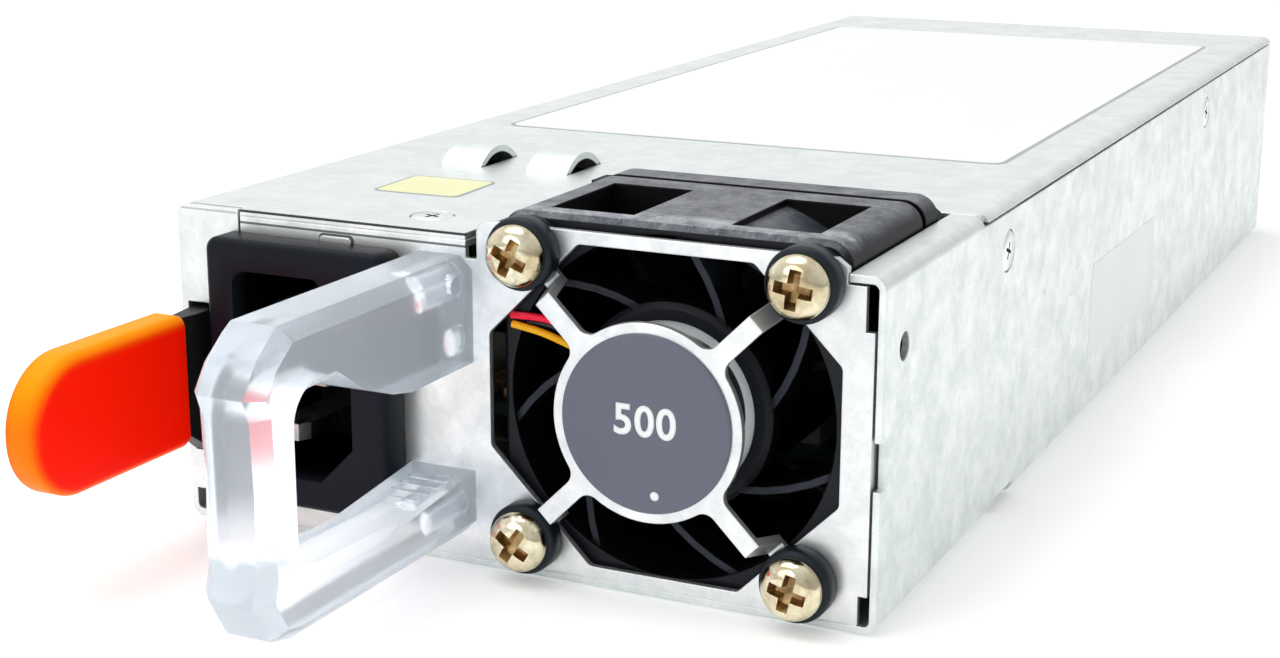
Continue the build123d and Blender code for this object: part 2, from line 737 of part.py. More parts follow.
def latch_bracket():
    """Bent bracket on the left wall, with two ears that hold the pivot pin."""
    ear_low = (latch_neck_low - 0.3 - sheet, latch_neck_low - 0.3)
    ear_high = (latch_neck_high + 0.3, latch_neck_high + 0.3 + sheet)
    back_y = (pivot_y - 3.5, pivot_y + 16.0)
    bracket = block((inner_left, inner_left + sheet), back_y, (ear_low[0], ear_high[1]))
    for ear in (ear_low, ear_high):
        ear_face = face_of(
            (inner_left, pivot_y - 3.5), (pivot_x, pivot_y - 3.5), (pivot_x + 2.6, pivot_y - 1.0),
            (pivot_x + 2.6, pivot_y + 1.0), (pivot_x, pivot_y + 3.5), (inner_left, pivot_y + 3.5))
        bracket += along_z(ear_face - Pos(pivot_x, pivot_y) * Circle(latch_pin_radius), *ear)
    return bracket


def latch_pin():
    """Headed pin through both ears of the bracket."""
    low = latch_neck_low - 0.3 - sheet
    high = latch_neck_high + 0.3 + sheet
    pin = along_z(Pos(pivot_x, pivot_y) * Circle(latch_pin_radius), low - 0.6, high)
    return pin + along_z(Pos(pivot_x, pivot_y) * Circle(1.7), high, high + 0.8)


def latch_spring():
    """Leaf spring clipped on the bracket, with its bowed tip against the lever's tail."""
    plate = inner_left + sheet
    gauge = 0.35
    tail = pivot_y + 6.0
    tip = pivot_x - 0.8 - 0.4 - gauge
    strip = face_of((plate, pivot_y + 15.0), (plate, pivot_y + 9.5), (tip, tail - 1.5), (tip, tail - 3.0),
                    (tip + gauge, tail - 3.0), (tip + gauge, tail - 1.4), (plate + gauge, pivot_y + 9.7),
                    (plate + gauge, pivot_y + 15.0))
    return along_z(strip, 14.0, 20.0)


def fan_frame():
    """Fan frame: a square box with windows beside its round duct, and a motor cup on curved guide vanes."""
    half = fan_size / 2
    square = RectangleRounded(fan_size, fan_size, fan_corner_radius)
    frame = along_y(Pos(fan_x, fan_z) * square, fan_front, fan_back)
    frame = chamfer(frame.faces().sort_by(Axis.Y)[0].edges(), fan_front_chamfer)

    # Two windows in each side, between a corner post and the flat where the duct meets the side
    window_width = half - fan_post - fan_land / 2
    for angle in (0, 90, 180, 270):
        for side in (-1, 1):
            middle = side * (fan_land + window_width) / 2
            window = Pos(middle, half) * Rectangle(window_width, 2 * fan_window_depth) - Circle(half)
            frame -= along_y(Pos(fan_x, fan_z) * Rot(0, 0, angle) * window,
                             fan_front + fan_front_flange, fan_front + fan_window_end)

    # Groove round the rear flange, the bore and the screw holes at both ends
    inside = fan_size - 2 * fan_groove_depth
    groove = square - RectangleRounded(inside, inside, fan_corner_radius)
    groove_start = fan_front + fan_groove_start
    frame -= along_y(Pos(fan_x, fan_z) * groove, groove_start, groove_start + fan_groove_width)
    frame -= round_bar(fan_x, fan_z, fan_bore_radius, fan_front - 1, fan_back + 1)
    for x, z in fan_holes:
        hole_radius = fan_screw_radius + screw_clearance
        frame -= round_bar(x, z, hole_radius, fan_front - 1, fan_front + fan_hole_depth)
        frame -= round_bar(x, z, hole_radius, fan_back - fan_hole_depth, fan_back + 1)

    # Guide vanes that lean away from the radius all the way out to the duct
    vane_start = fan_front + 0.6
    for index in range(guide_vanes):
        turn = Rot(0, 0, vane_first + index * 360 / guide_vanes)
        frame += along_y(Pos(fan_x, fan_z) * turn * vane_face(), vane_start, vane_start + vane_depth)

    # Room for the rotor's hub behind the cup
    floor = fan_front + motor_depth
    frame -= round_bar(fan_x, fan_z, motor_radius + rotor_tip_gap, floor, fan_back + 1)

    # Motor cup at the front, open forwards, with the bearing tube behind it
    rim = fan_front + 0.3
    cup_inner = motor_radius - motor_rim
    cup_outer = motor_radius + cup_flare
    tube_outer = bearing_radius + bearing_tube_wall
    tube_end = fan_front + bearing_tube_end
    frame += turned(fan_x, fan_z, (
        (bearing_radius, floor - 1.2), (cup_inner, floor - 1.2), (cup_inner, rim), (cup_outer - 0.6, rim),
        (cup_outer, rim + 0.6), (cup_outer, floor - 0.6), (motor_radius, floor), (tube_outer, floor),
        (tube_outer, tube_end), (bearing_radius, tube_end)))
    frame += round_bar(fan_x, fan_z, bearing_radius + 0.2, floor - 1.2, floor - 0.4)
    return frame


def vane_face():
    """Outline of one guide vane, seen from the front and starting along X in the cup's wall."""
    lean = math.radians(vane_lean)
    start = motor_radius - 0.6
    end = fan_bore_radius + 0.45
    sides = ([], [])
    for step in range(vane_steps + 1):
        radius = start * (end / start) ** (step / vane_steps)
        angle = math.tan(lean) * math.log(radius / start)
        for points, offset in zip(sides, (-vane_thickness / 2, vane_thickness / 2)):
            across = angle + lean + math.pi / 2
            points.append((radius * math.cos(angle) + offset * math.cos(across),
                           radius * math.sin(angle) + offset * math.sin(across)))
    return face_of(*sides[0], *reversed(sides[1]))


def fan_rotor():
    """Rotor: a hub cup closed at the rear, with twisted blades."""
    hub_inner = motor_radius - rotor_hub_wall
    hub_start = fan_front + rotor_start
    hub_end = fan_front + rotor_end
    hub = turned(fan_x, fan_z, (
        (hub_inner, hub_start), (motor_radius, hub_start), (motor_radius, hub_end - 0.8),
        (motor_radius - 0.8, hub_end), (shaft_radius, hub_end), (shaft_radius, hub_end - 3.4),
        (3.6, hub_end - 3.4), (3.6, hub_end - 1.5), (hub_inner, hub_end - 1.5)))
    tip_radius = fan_bore_radius - rotor_tip_gap
    middle_y = (hub_start + 4.4 + hub_end - 1.2) / 2
    half_depth = (hub_end - 1.2 - hub_start - 4.4) / 2
    sections = []
    for radius, lean in ((motor_radius - 0.6, blade_lean_hub), (tip_radius + 1.4, blade_lean_tip)):
        sections.append(blade_section(radius, lean, half_depth, middle_y))
    blade = loft(sections, ruled=True)
    blade &= along_y(Circle(tip_radius) - Circle(motor_radius - 0.5), hub_start, hub_end)
    for index in range(rotor_blades):
        hub += Pos(fan_x, 0, fan_z) * Rot(0, index * 360 / rotor_blades, 0) * blade
    return hub


def blade_section(radius, lean, half_depth, middle_y):
    """Cambered section of a rotor blade on a plane square to the radius along X."""
    sweep = half_depth * math.tan(math.radians(lean)) * 0.62
    camber = 1.3
    half = blade_thickness / 2
    face = face_of(
        (-sweep, -half_depth), (-camber + half, 0), (sweep, half_depth), (sweep - 2 * half, half_depth),
        (-camber - half, 0), (-sweep - 2 * half, -half_depth))
    plane = Plane(origin=(radius, middle_y, 0), x_dir=(0, 0, 1), z_dir=(1, 0, 0))
    return plane * face


def fan_shaft():
    """Rotor shaft with a retaining groove at its front end."""
    start = fan_front + motor_depth - 0.3
    end = fan_front + rotor_end
    return turned(fan_x, fan_z, (
        (0, start), (shaft_radius - 0.3, start), (shaft_radius, start + 0.3), (shaft_radius, start + 0.6),
        (shaft_radius - 0.3, start + 0.6), (shaft_radius - 0.3, start + 1.1), (shaft_radius, start + 1.1),
        (shaft_radius, end), (0, end)))


def fan_bearings():
    """Two bearings pressed in the ends of the bearing tube."""
    inner = shaft_radius + bearing_clearance
    starts = (fan_front + motor_depth + 0.9, fan_front + bearing_tube_end - bearing_length)
    return group([ring(fan_x, fan_z, bearing_radius, inner, start, start + bearing_length)
                  for start in starts])


def fan_magnet():
    """Magnet ring inside the rotor hub."""
    outer = motor_radius - rotor_hub_wall
    return ring(fan_x, fan_z, outer, outer - 1.2, fan_front + rotor_start + 1.5, fan_front + 18.0)


def fan_stator():
    """Four pole stator with its coils, held on the bearing tube."""
    tube_outer = bearing_radius + bearing_tube_wall
    reach = motor_radius - rotor_hub_wall - 1.2 - 0.5
    core = Circle(tube_outer + 1.2)
    for angle in (0, 90):
        core += Rot(0, 0, angle) * Rectangle(2 * reach, 2.6)
    shoes = Circle(reach) - Circle(reach - 1.2)
    for angle in (45, 135):
        shoes -= Rot(0, 0, angle) * Rectangle(3 * reach, 4.0)
    core = core & Circle(reach)
    core = Pos(fan_x, fan_z) * (core + shoes - Circle(tube_outer))
    return along_y(core, fan_front + 7.0, fan_front + 15.0)


def fan_coils():
    """Four coils on the stator's poles."""
    tube_outer = bearing_radius + bearing_tube_wall
    reach = motor_radius - rotor_hub_wall - 1.2 - 0.5
    coil = block((tube_outer + 1.4, reach - 1.9), (fan_front + 6.0, fan_front + 16.0), (-2.9, 2.9))
    coil -= block((tube_outer, reach), (fan_front + 7.0, fan_front + 15.0), (-1.3, 1.3))
    return group([Pos(fan_x, 0, fan_z) * Rot(0, angle, 0) * coil for angle in (0, 90, 180, 270)])


def fan_circuit_board():
    """Round driver board in the front of the motor cup."""
    outer = motor_radius - motor_rim - 0.1
    start = fan_front + motor_depth - 1.2 - 1.0
    return round_bar(fan_x, fan_z, outer, start, start + 1.0)


def fan_label():
    """Plain foil disc over the driver board."""
    start = fan_front + motor_depth - 1.2 - 1.0
    return round_bar(fan_x, fan_z, motor_radius - motor_rim - 0.1, start - 0.15, start)


def fan_wires():
    """Three thin wires from the driver board across the duct to the frame's side."""
    wires = []
    wire_y = fan_front + 0.3 - wire_radius
    for index in range(3):
        z = fan_z + 5.8 + 1.25 * index
        start = fan_x - math.sqrt((motor_radius - motor_rim - 0.2) ** 2 - (z - fan_z) ** 2)
        end = fan_x - math.sqrt(fan_bore_radius ** 2 - (z - fan_z) ** 2)
        wires.append(along_x(Pos(wire_y, z) * Circle(wire_radius), end + 0.4, start))
    return group(wires)


def fan_screws():
    """Four pan headed screws through the grommets into the fan's front flange."""
    seat = front - grommet_front
    crown = seat - screw_head_height
    head = screw_head_radius
    tip = seat + fan_screw_length
    profile = ((0, crown), (0.75 * head, crown), (head, crown + 1.0), (head, seat),
               (fan_screw_radius, seat), (fan_screw_radius, tip), (0, tip))
    return group([turned(x, z, profile) for x, z in fan_holes])


def fan_grommets():
    """Rubber isolators with a groove that grips the panel round each fan hole."""
    bore = fan_screw_radius + screw_clearance
    profile = (
        (bore, front - grommet_front), (grommet_radius, front - grommet_front), (grommet_radius, front),
        (grommet_neck, front), (grommet_neck, panel_back), (grommet_radius - 0.4, panel_back),
        (grommet_radius - 0.4, fan_front), (bore, fan_front))
    return group([turned(x, z, profile) for x, z in fan_holes])


def guard_badge():
    """Thin disc on the guard's hub."""
    hub_front = front - guard_dish
    return round_bar(fan_x, fan_z, badge_radius, hub_front - badge_thickness, hub_front)


def fan_seal():
    """Foam frame that closes the gap between the fan's outlet and the cover."""
    top = fan_z + fan_size / 2 - fan_seal_drop
    outer = face_of(
        (notch_x + 0.4, floor_top), (fan_right, floor_top), (fan_right, top), (notch_x + 0.4, top))
    outer = rounded(outer, 3.0, (fan_right, top))
    hole = Pos(fan_x, fan_z - 1.0) * Circle(fan_bore_radius - 2.0)
    return along_y(outer - hole, fan_back, notch_y - sheet_gap)


def main_board():
    """Circuit board with the card edge tongue that leaves the case at the rear."""
    back = rear - sheet - board_rear_gap
    step = front + board_front
    x0 = board_left
    x1 = board_right
    tongue_x0 = left + tongue_left
    tongue_x1 = tongue_x0 + tongue_width
    plan = face_of(
        (x0, step + board_step_length), (x0 + board_step_width, step + board_step_length),
        (x0 + board_step_width, step), (x1, step), (x1, back), (tongue_x1, back),
        (tongue_x1, tongue_back), (tongue_x0, tongue_back),
        (tongue_x0, back), (x0, back))
    key_x = tongue_x0 + tongue_width * 0.62
    plan -= Pos(key_x, tongue_back) * Rectangle(1.6, 10.0)
    board = along_z(plan, board_low, board_top)
    for z, side in ((board_low, 1), (board_top, -1)):
        bevel = face_of((tongue_back - 1.4, z), (tongue_back + 1, z), (tongue_back + 1, z + side * 0.9),
                        (tongue_back, z + side * 0.5))
        board -= along_x(bevel, tongue_x0 - 1, tongue_x1 + 1)
    for x, y in standoff_places():
        board -= along_z(Pos(x, y) * Circle(1.6), board_low - 1, board_top + 1)
    return board


def standoff_places():
    """Centres of the board's fixing points."""
    x = inner_right - 8.0
    return [(-x, front + 60.0), (x, front + 44.0), (-x, rear - 12.0), (x, rear - 12.0)]


def edge_contacts():
    """Gold contact areas on both faces of the tongue: wide power pads and narrow signal fingers."""
    pads = []
    start = left + tongue_left + 1.5
    spans = [(start + i * 9.0, start + i * 9.0 + 7.6) for i in range(3)]
    signal_start = left + tongue_left + tongue_width * 0.62 + 2.0
    spans += [(signal_start + i * 2.0, signal_start + i * 2.0 + 1.2) for i in range(8)]
    y = (rear + 0.6, tongue_back - 1.6)
    for x in spans:
        pads.append(block(x, y, (board_top, board_top + finger_gauge)))
        pads.append(block(x, y, (board_low - finger_gauge, board_low)))
    return group(pads)


def board_standoffs():
    """Pressed steel studs that carry the board."""
    stud = RegularPolygon(standoff_radius, 6) - Circle(1.2)
    return group([along_z(Pos(x, y) * stud, floor_top, board_low) for x, y in standoff_places()])


def board_screws():
    """Screws through the board into the studs."""
    profile = face_of((0, floor_top + 0.6), (1.2, floor_top + 0.6), (1.2, board_top), (2.5, board_top),
                      (2.5, board_top + 1.4), (0, board_top + 1.4))
    screw = revolve(Plane.XZ * profile, axis=Axis.Z)
    return group([Pos(x, y, 0) * screw for x, y in standoff_places()])


def insulating_sheet():
    """Plastic sheet between the floor and the board."""
    step = front + board_front
    sheet_face = face_of(
        (board_left, step + board_step_length), (board_left + 10.0, step + 2.0),
        (board_right, step + 2.0), (board_right, rear - 10.0), (board_left, rear - 10.0))
    for place in standoff_places():
        sheet_face -= Pos(*place) * RegularPolygon(standoff_radius + 0.4, 6)
    return along_z(sheet_face, floor_top, floor_top + insulator_gauge)


def can_along_y(x, start, length, radius):
    """A capacitor can lying on the board, with a bevelled front rim."""
    z = board_top + radius
    return turned(x, z, ((0, start), (radius - 0.8, start), (radius, start + 0.8), (radius, start + length),
                         (0, start + length)))


def bulk_capacitor():
    """Large mains capacitor lying on its side."""
    start = front + bulk_capacitor_front
    length = rear - bulk_capacitor_rear - start
    return can_along_y(left + bulk_capacitor_side + bulk_radius, start, length, bulk_radius)


def can_upright(x, y, radius, height):
    """A capacitor can standing on the board."""
    return along_z(Pos(x, y) * Circle(radius), board_top, board_top + height)


def output_capacitors():
    """Four output capacitors in a row near the card edge."""
    y = rear - output_capacitor_rear
    places = [left + 20.0 + index * output_capacitor_pitch for index in range(4)]
    return group([can_upright(x, y, radius=5.0, height=21.0) for x in places])


def wound_ring(x, y, outer, inner, height):
    """A toroid choke standing flat on the board, its winding shown as a bevelled ring with flat sides."""
    ring_face = RegularPolygon(outer, winding_sides) - RegularPolygon(inner, winding_sides)
    body = along_z(Pos(x, y) * ring_face, board_top, board_top + height)
    rims = body.faces().sort_by(Axis.Z)[0].edges() + body.faces().sort_by(Axis.Z)[-1].edges()
    return chamfer(rims, winding_bevel)


def input_choke():
    """Common mode choke of the mains filter."""
    return wound_ring(left + 22.0, front + 64.0, outer=10.5, inner=4.5, height=12.0)


def boost_choke():
    """Power factor choke."""
    return wound_ring(right - 20.4, front + 80.0, outer=13.0, inner=5.5, height=15.0)


def output_choke():
    """Output filter choke."""
    return wound_ring(right - 16.4, rear - 44.0, outer=8.5, inner=3.6, height=11.0)


def transformer_place():
    """Centre of the main transformer, across and along the case."""
    return left + transformer_left, rear - transformer_rear


def transformer_core():
    """Pair of E shaped ferrite cores round the winding."""
    x, y = transformer_place()
    half = transformer_half_width
    low = board_top + 2.0
    high = board_top + room_height - transformer_gap
    core = block((x - half, x + half), (y - 9.0, y + 9.0), (low, high))
    for window in ((x - 9.5, x - 4.5), (x + 4.5, x + 9.5)):
        core -= block(window, (y - 10.0, y + 10.0), (low + core_yoke, high - core_yoke))
    return core


def transformer_winding():
    """Bobbin and winding round the centre leg of the cores."""
    x, y = transformer_place()
    low = board_top + 2.0 + core_yoke + 0.2
    high = board_top + room_height - transformer_gap - core_yoke - 0.2
    outer = RectangleRounded(18.8, 30.0, 4.0)
    coil = along_z(Pos(x, y) * (outer - Rectangle(9.2, 18.2)), low, high)
    for span in ((y + 10.0, y + 14.0), (y - 14.0, y - 10.0)):
        coil += block((x - 9.0, x + 9.0), span, (board_top, low))
    return coil


def standby_transformer():
    """Small transformer of the standby supply, on its bobbin."""
    x, y = right - 22.0, front + 112.0
    body = block((x - 7.0, x + 7.0), (y - 4.0, y + 4.0), (board_top + 1.5, board_top + 15.0))
    body += block((x - 5.0, x + 5.0), (y - 7.0, y + 7.0), (board_top, board_top + 12.5))
    return body


def boxed_part(x0, y0, width, length, height):
    """A boxed component on the board, with bevelled upper edges."""
    box = block((x0, x0 + width), (y0, y0 + length), (board_top, board_top + height))
    return chamfer(box.faces().sort_by(Axis.Z)[-1].edges(), 0.6)


def film_capacitors():
    """Two boxed film capacitors of the mains filter."""
    return group([boxed_part(right - 44.0, front + 40.0, width=13.6, length=9.0, height=15.0),
                  boxed_part(right - 41.4, front + 53.0, width=9.0, length=18.0, height=13.0)])


def disc_capacitors():
    """Three disc capacitors standing on their leads."""
    discs = []
    x = right - 27.6
    for y in (front + 52.5, front + 58.0, front + 63.5):
        disc = along_y(Pos(x, board_top + 5.4) * RegularPolygon(3.5, 12), y, y + 2.6)
        discs.append(disc + block((x - 2.5, x + 2.5), (y + 0.8, y + 1.8), (board_top, board_top + 3.5)))
    return group(discs)


def mains_relay():
    """Boxed inrush relay."""
    return boxed_part(right - 23.4, front + 48.0, width=14.0, length=14.0, height=15.0)


def mains_fuse():
    """Cartridge fuse between two clips."""
    y, z = front + 45.5, board_top + 4.4
    x0 = left + 12.0
    body = along_x(Pos(y, z) * Circle(2.6), x0, x0 + 20.0)
    for x in (x0, x0 + 15.5):
        body += block((x, x + 4.5), (y - 3.2, y + 3.2), (board_top, z))
    return body


def heat_sink(x, start, end, fin_side):
    """Finned aluminium section standing on the board."""
    height = room_height - transformer_gap
    section = face_of((x, board_top), (x + sink_base, board_top), (x + sink_base, board_top + height),
                      (x, board_top + height))
    for index in range(sink_fins):
        z = board_top + 3.4 + index * (height - 5.4) / (sink_fins - 1)
        x0, x1 = (x + sink_base, x + sink_base + fin_reach) if fin_side > 0 else (x - fin_reach, x)
        section += face_of((x0, z), (x1, z), (x1, z + fin_gauge), (x0, z + fin_gauge))
    return along_y(section, start, end)


def sink_spans():
    """Edges along Y of the mains side and the output side heat sinks."""
    return (front + 94.0, rear - 85.0), (rear - 75.0, rear - 35.0)


def heat_sinks():
    """Heat sinks of the mains side and the output side."""
    mains, output = sink_spans()
    return group([heat_sink(left + mains_sink_left, *mains, 1),
                  heat_sink(right - output_sink_right, *output, -1)])


def power_transistors():
    """Power transistors and the bridge rectifier clamped to the heat sinks."""
    mains, output = sink_spans()
    mains_face = left + mains_sink_left
    output_face = right - output_sink_right + sink_base
    parts = []
    for start, end in (mains, output):
        for y in (start + 1.0, end - 1.0 - transistor_width):
            x0 = mains_face - transistor_gauge if (start, end) == mains else output_face
            parts.append(transistor(x0, y))
    return group(parts)


def transistor(x0, y):
    """One flat transistor case on its legs."""
    case = block((x0, x0 + transistor_gauge), (y, y + transistor_width),
                 (board_top + 5.0, board_top + 20.0))
    for step in range(3):
        leg_y = y + 1.3 + step * 3.2
        case += block((x0 + 1.8, x0 + 2.8), (leg_y, leg_y + 1.0), (board_top, board_top + 5.0))
    return case


def control_board():
    """Upright control board with two packages on it."""
    x = right - 8.4
    span = (front + 96.0, rear - 55.0)
    board = block((x, x + 1.2), span, (board_top, board_top + room_height - 4.6))
    for y, length in ((span[0] + 8.0, 12.0), (span[1] - 30.0, 9.0)):
        board += block((x - 1.4, x), (y, y + length), (board_top + 9.0, board_top + 16.0))
    return board


def fan_connector():
    """Plug and header that join the fan lead to the board."""
    x, y = right - 22.4, front + 38.5
    header = block((x - 4.5, x + 1.5), (y, y + 9.0), (board_top, board_top + 6.0))
    header -= block((x - 3.9, x + 0.9), (y + 0.8, y + 8.2), (board_top + 2.0, board_top + 7.0))
    return header


def inlet_board():
    """Small upright board soldered to the tails of the inlet's blades."""
    tails = inlet_body_back + 1.0
    plan = Pos(inlet_x, inlet_z) * Rectangle(inlet_width - 6.0, inlet_height - 6.0)
    for x, z in blade_places():
        plan -= Pos(x, z) * Rectangle(blade_width + 0.1, blade_gauge + 0.1)
    return along_y(plan, tails, tails + inlet_board_gauge)


def inlet_straps():
    """Three bent copper straps from the inlet's board down and back to the main board."""
    straps = []
    start = inlet_body_back + 1.0 + inlet_board_gauge
    low = board_top + 3.0
    high = inlet_z - 8.0
    for index in range(3):
        x = inlet_x - 6.6 + 5.2 * index
        board_edge = front + board_front + (board_step_length if x < board_left + board_step_width else 0.0)
        end = board_edge + 2.5
        strap = face_of(
            (start, high), (start, low), (end, low), (end, board_top), (end + strap_gauge, board_top),
            (end + strap_gauge, low + strap_gauge), (start + strap_gauge, low + strap_gauge),
            (start + strap_gauge, high))
        straps.append(along_x(strap, x - 1.5, x + 1.5))
    return group(straps)


nodes = {
    "chassis_tray": chassis_tray,
    "top_cover": top_cover,
    "front_panel": front_panel,
    "rear_panel": rear_panel,
    "cover_screws": cover_screws,
    "inlet_housing": inlet_housing,
    "inlet_pins": inlet_pins,
    "handle": handle,
    "handle_screws": handle_screws,
    "status_lamp": status_lamp,
    "latch_lever": latch_lever,
    "latch_tab": latch_tab,
    "latch_bracket": latch_bracket,
    "latch_pin": latch_pin,
    "latch_spring": latch_spring,
    "fan_frame": fan_frame,
    "fan_rotor": fan_rotor,
    "fan_shaft": fan_shaft,
    "fan_bearings": fan_bearings,
    "fan_magnet": fan_magnet,
    "fan_stator": fan_stator,
    "fan_coils": fan_coils,
    "fan_circuit_board": fan_circuit_board,
    "fan_label": fan_label,
    "fan_wires": fan_wires,
    "fan_screws": fan_screws,
    "fan_grommets": fan_grommets,
    "guard_badge": guard_badge,
    "fan_seal": fan_seal,
    "main_board": main_board,
    "edge_contacts": edge_contacts,
    "board_standoffs": board_standoffs,
    "board_screws": board_screws,
    "insulating_sheet": insulating_sheet,
    "bulk_capacitor": bulk_capacitor,
    "output_capacitors": output_capacitors,
    "input_choke": input_choke,
    "boost_choke": boost_choke,
    "output_choke": output_choke,
    "transformer_core": transformer_core,
    "transformer_winding": transformer_winding,
    "standby_transformer": standby_transformer,
    "film_capacitors": film_capacitors,
    "disc_capacitors": disc_capacitors,
    "mains_relay": mains_relay,
    "mains_fuse": mains_fuse,
    "heat_sinks": heat_sinks,
    "power_transistors": power_transistors,
    "control_board": control_board,
    "fan_connector": fan_connector,
    "inlet_board": inlet_board,
    "inlet_straps": inlet_straps,
}

os.makedirs("parts", exist_ok=True)
for name, build in nodes.items():
    export_step(build(), f"parts/{name}.step")
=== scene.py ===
import bpy
import bmesh
import math
from mathutils import Matrix, Vector


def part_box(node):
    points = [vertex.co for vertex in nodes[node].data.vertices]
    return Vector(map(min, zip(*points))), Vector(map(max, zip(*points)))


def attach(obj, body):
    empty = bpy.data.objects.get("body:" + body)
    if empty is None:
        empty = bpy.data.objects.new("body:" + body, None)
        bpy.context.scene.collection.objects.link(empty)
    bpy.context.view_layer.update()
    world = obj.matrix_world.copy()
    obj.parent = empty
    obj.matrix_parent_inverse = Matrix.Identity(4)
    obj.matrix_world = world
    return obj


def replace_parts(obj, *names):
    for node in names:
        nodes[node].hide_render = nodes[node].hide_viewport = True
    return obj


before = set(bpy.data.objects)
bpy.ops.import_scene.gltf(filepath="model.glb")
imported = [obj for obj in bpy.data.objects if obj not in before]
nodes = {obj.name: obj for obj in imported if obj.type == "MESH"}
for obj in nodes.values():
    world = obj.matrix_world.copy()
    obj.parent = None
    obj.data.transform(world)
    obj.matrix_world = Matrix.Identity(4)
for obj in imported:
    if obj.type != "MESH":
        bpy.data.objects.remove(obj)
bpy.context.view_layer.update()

# Places read from the frame, in metres. X runs across the case, Y from front to rear and Z up.
mm = 0.001
tray_low, tray_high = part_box("chassis_tray")
fan_low, fan_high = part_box("fan_frame")
badge_low, badge_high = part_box("guard_badge")
screw_low, screw_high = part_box("fan_screws")
grommet_low, grommet_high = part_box("fan_grommets")
handle_low, handle_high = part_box("handle")
wire_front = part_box("fan_wires")[0].y
inlet_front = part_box("inlet_housing")[0].y
cover_screw_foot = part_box("cover_screws")[0].z
case_left = tray_low.x
case_right = tray_high.x
case_front = tray_low.y
case_rear = tray_high.y
case_top = tray_high.z
fan_x = (fan_low.x + fan_high.x) / 2
fan_z = (fan_low.z + fan_high.z) / 2

# The fan's fixing holes lie this far from its axis, both ways
hole_reach = 16 * mm

# Camera of the photograph: its place in metres, its turn in degrees, its lens and sensor in millimetres
camera_place = (0.10748, -0.30377, 0.08525)
camera_turn = (75.316, -0.167, 25.559)
camera_lens = 58.77
sensor_width = 36.0


def node(tree, kind, settings=None, inputs=None):
    """A shader node with its settings, and with its inputs set or linked by name or number."""
    made = tree.nodes.new(kind)
    for key, value in (settings or {}).items():
        setattr(made, key, value)
    for key, value in (inputs or {}).items():
        if isinstance(value, bpy.types.NodeSocket):
            tree.links.new(value, made.inputs[key])
        else:
            made.inputs[key].default_value = value
    return made


def noise(tree, vector, scale, detail=3.0, rough=0.5):
    """Soft random values over the surface, from 0 to 1."""
    made = node(tree, "ShaderNodeTexNoise", None,
                {"Vector": vector, "Scale": scale, "Detail": detail, "Roughness": rough})
    return made.outputs["Fac"]


def ramp(tree, value, low, high, to_low=0.0, to_high=1.0):
    """The value spread between two limits and held there."""
    made = node(tree, "ShaderNodeMapRange", {"clamp": True},
                {"Value": value, "From Min": low, "From Max": high, "To Min": to_low, "To Max": to_high})
    return made.outputs["Result"]


def calc(tree, operation, first, second=0.0, held=False):
    """Arithmetic on two values, with the result held between 0 and 1 if asked."""
    made = node(tree, "ShaderNodeMath", {"operation": operation, "use_clamp": held},
                {0: first, 1: second})
    return made.outputs["Value"]


def times(tree, first, second):
    """The product of two values."""
    return calc(tree, "MULTIPLY", first, second)


def blend_colour(tree, factor, first, second):
    """A colour between two others, which a Mix node takes as inputs 6 and 7 and gives as output 2."""
    made = node(tree, "ShaderNodeMix", {"data_type": "RGBA"}, {0: factor, 6: first, 7: second})
    return made.outputs[2]


def band(tree, value, low, high, soft):
    """One between two limits, falling to nought just outside them."""
    rising = ramp(tree, value, low - soft, low)
    falling = ramp(tree, value, high, high + soft, 1.0, 0.0)
    return times(tree, rising, falling)


def object_place(tree):
    """The place on the object, in metres."""
    return node(tree, "ShaderNodeTexCoord").outputs["Object"]


def true_normal(tree):
    """The direction that the surface faces."""
    return node(tree, "ShaderNodeNewGeometry").outputs["Normal"]


def parts_of(tree, vector):
    """The X, Y and Z parts of a place or a direction."""
    return node(tree, "ShaderNodeSeparateXYZ", None, {"Vector": vector}).outputs


def agreement(tree, first, second):
    """How far two directions agree: 1 when they are the same and 0 when they are square to each other."""
    made = node(tree, "ShaderNodeVectorMath", {"operation": "DOT_PRODUCT"}, {0: first, 1: second})
    return made.outputs["Value"]


def stretched(tree, place, factors):
    """The place multiplied along each axis, which draws a pattern out or presses it together."""
    made = node(tree, "ShaderNodeVectorMath", {"operation": "MULTIPLY"}, {0: place, 1: factors})
    return made.outputs["Vector"]


def fan_distance(tree, at):
    """The distance from the fan's axis."""
    across = calc(tree, "SUBTRACT", at["X"], fan_x)
    upward = calc(tree, "SUBTRACT", at["Z"], fan_z)
    squares = calc(tree, "ADD", times(tree, across, across), times(tree, upward, upward))
    return calc(tree, "SQRT", squares)


def group_tree(name, inputs, outputs):
    """A shader node group with named sockets."""
    tree = bpy.data.node_groups.new(name, "ShaderNodeTree")
    for label, kind, value in inputs:
        socket = tree.interface.new_socket(label, in_out="INPUT", socket_type=kind)
        socket.default_value = value
    for label, kind in outputs:
        tree.interface.new_socket(label, in_out="OUTPUT", socket_type=kind)
    return tree, tree.nodes.new("NodeGroupInput"), tree.nodes.new("NodeGroupOutput")


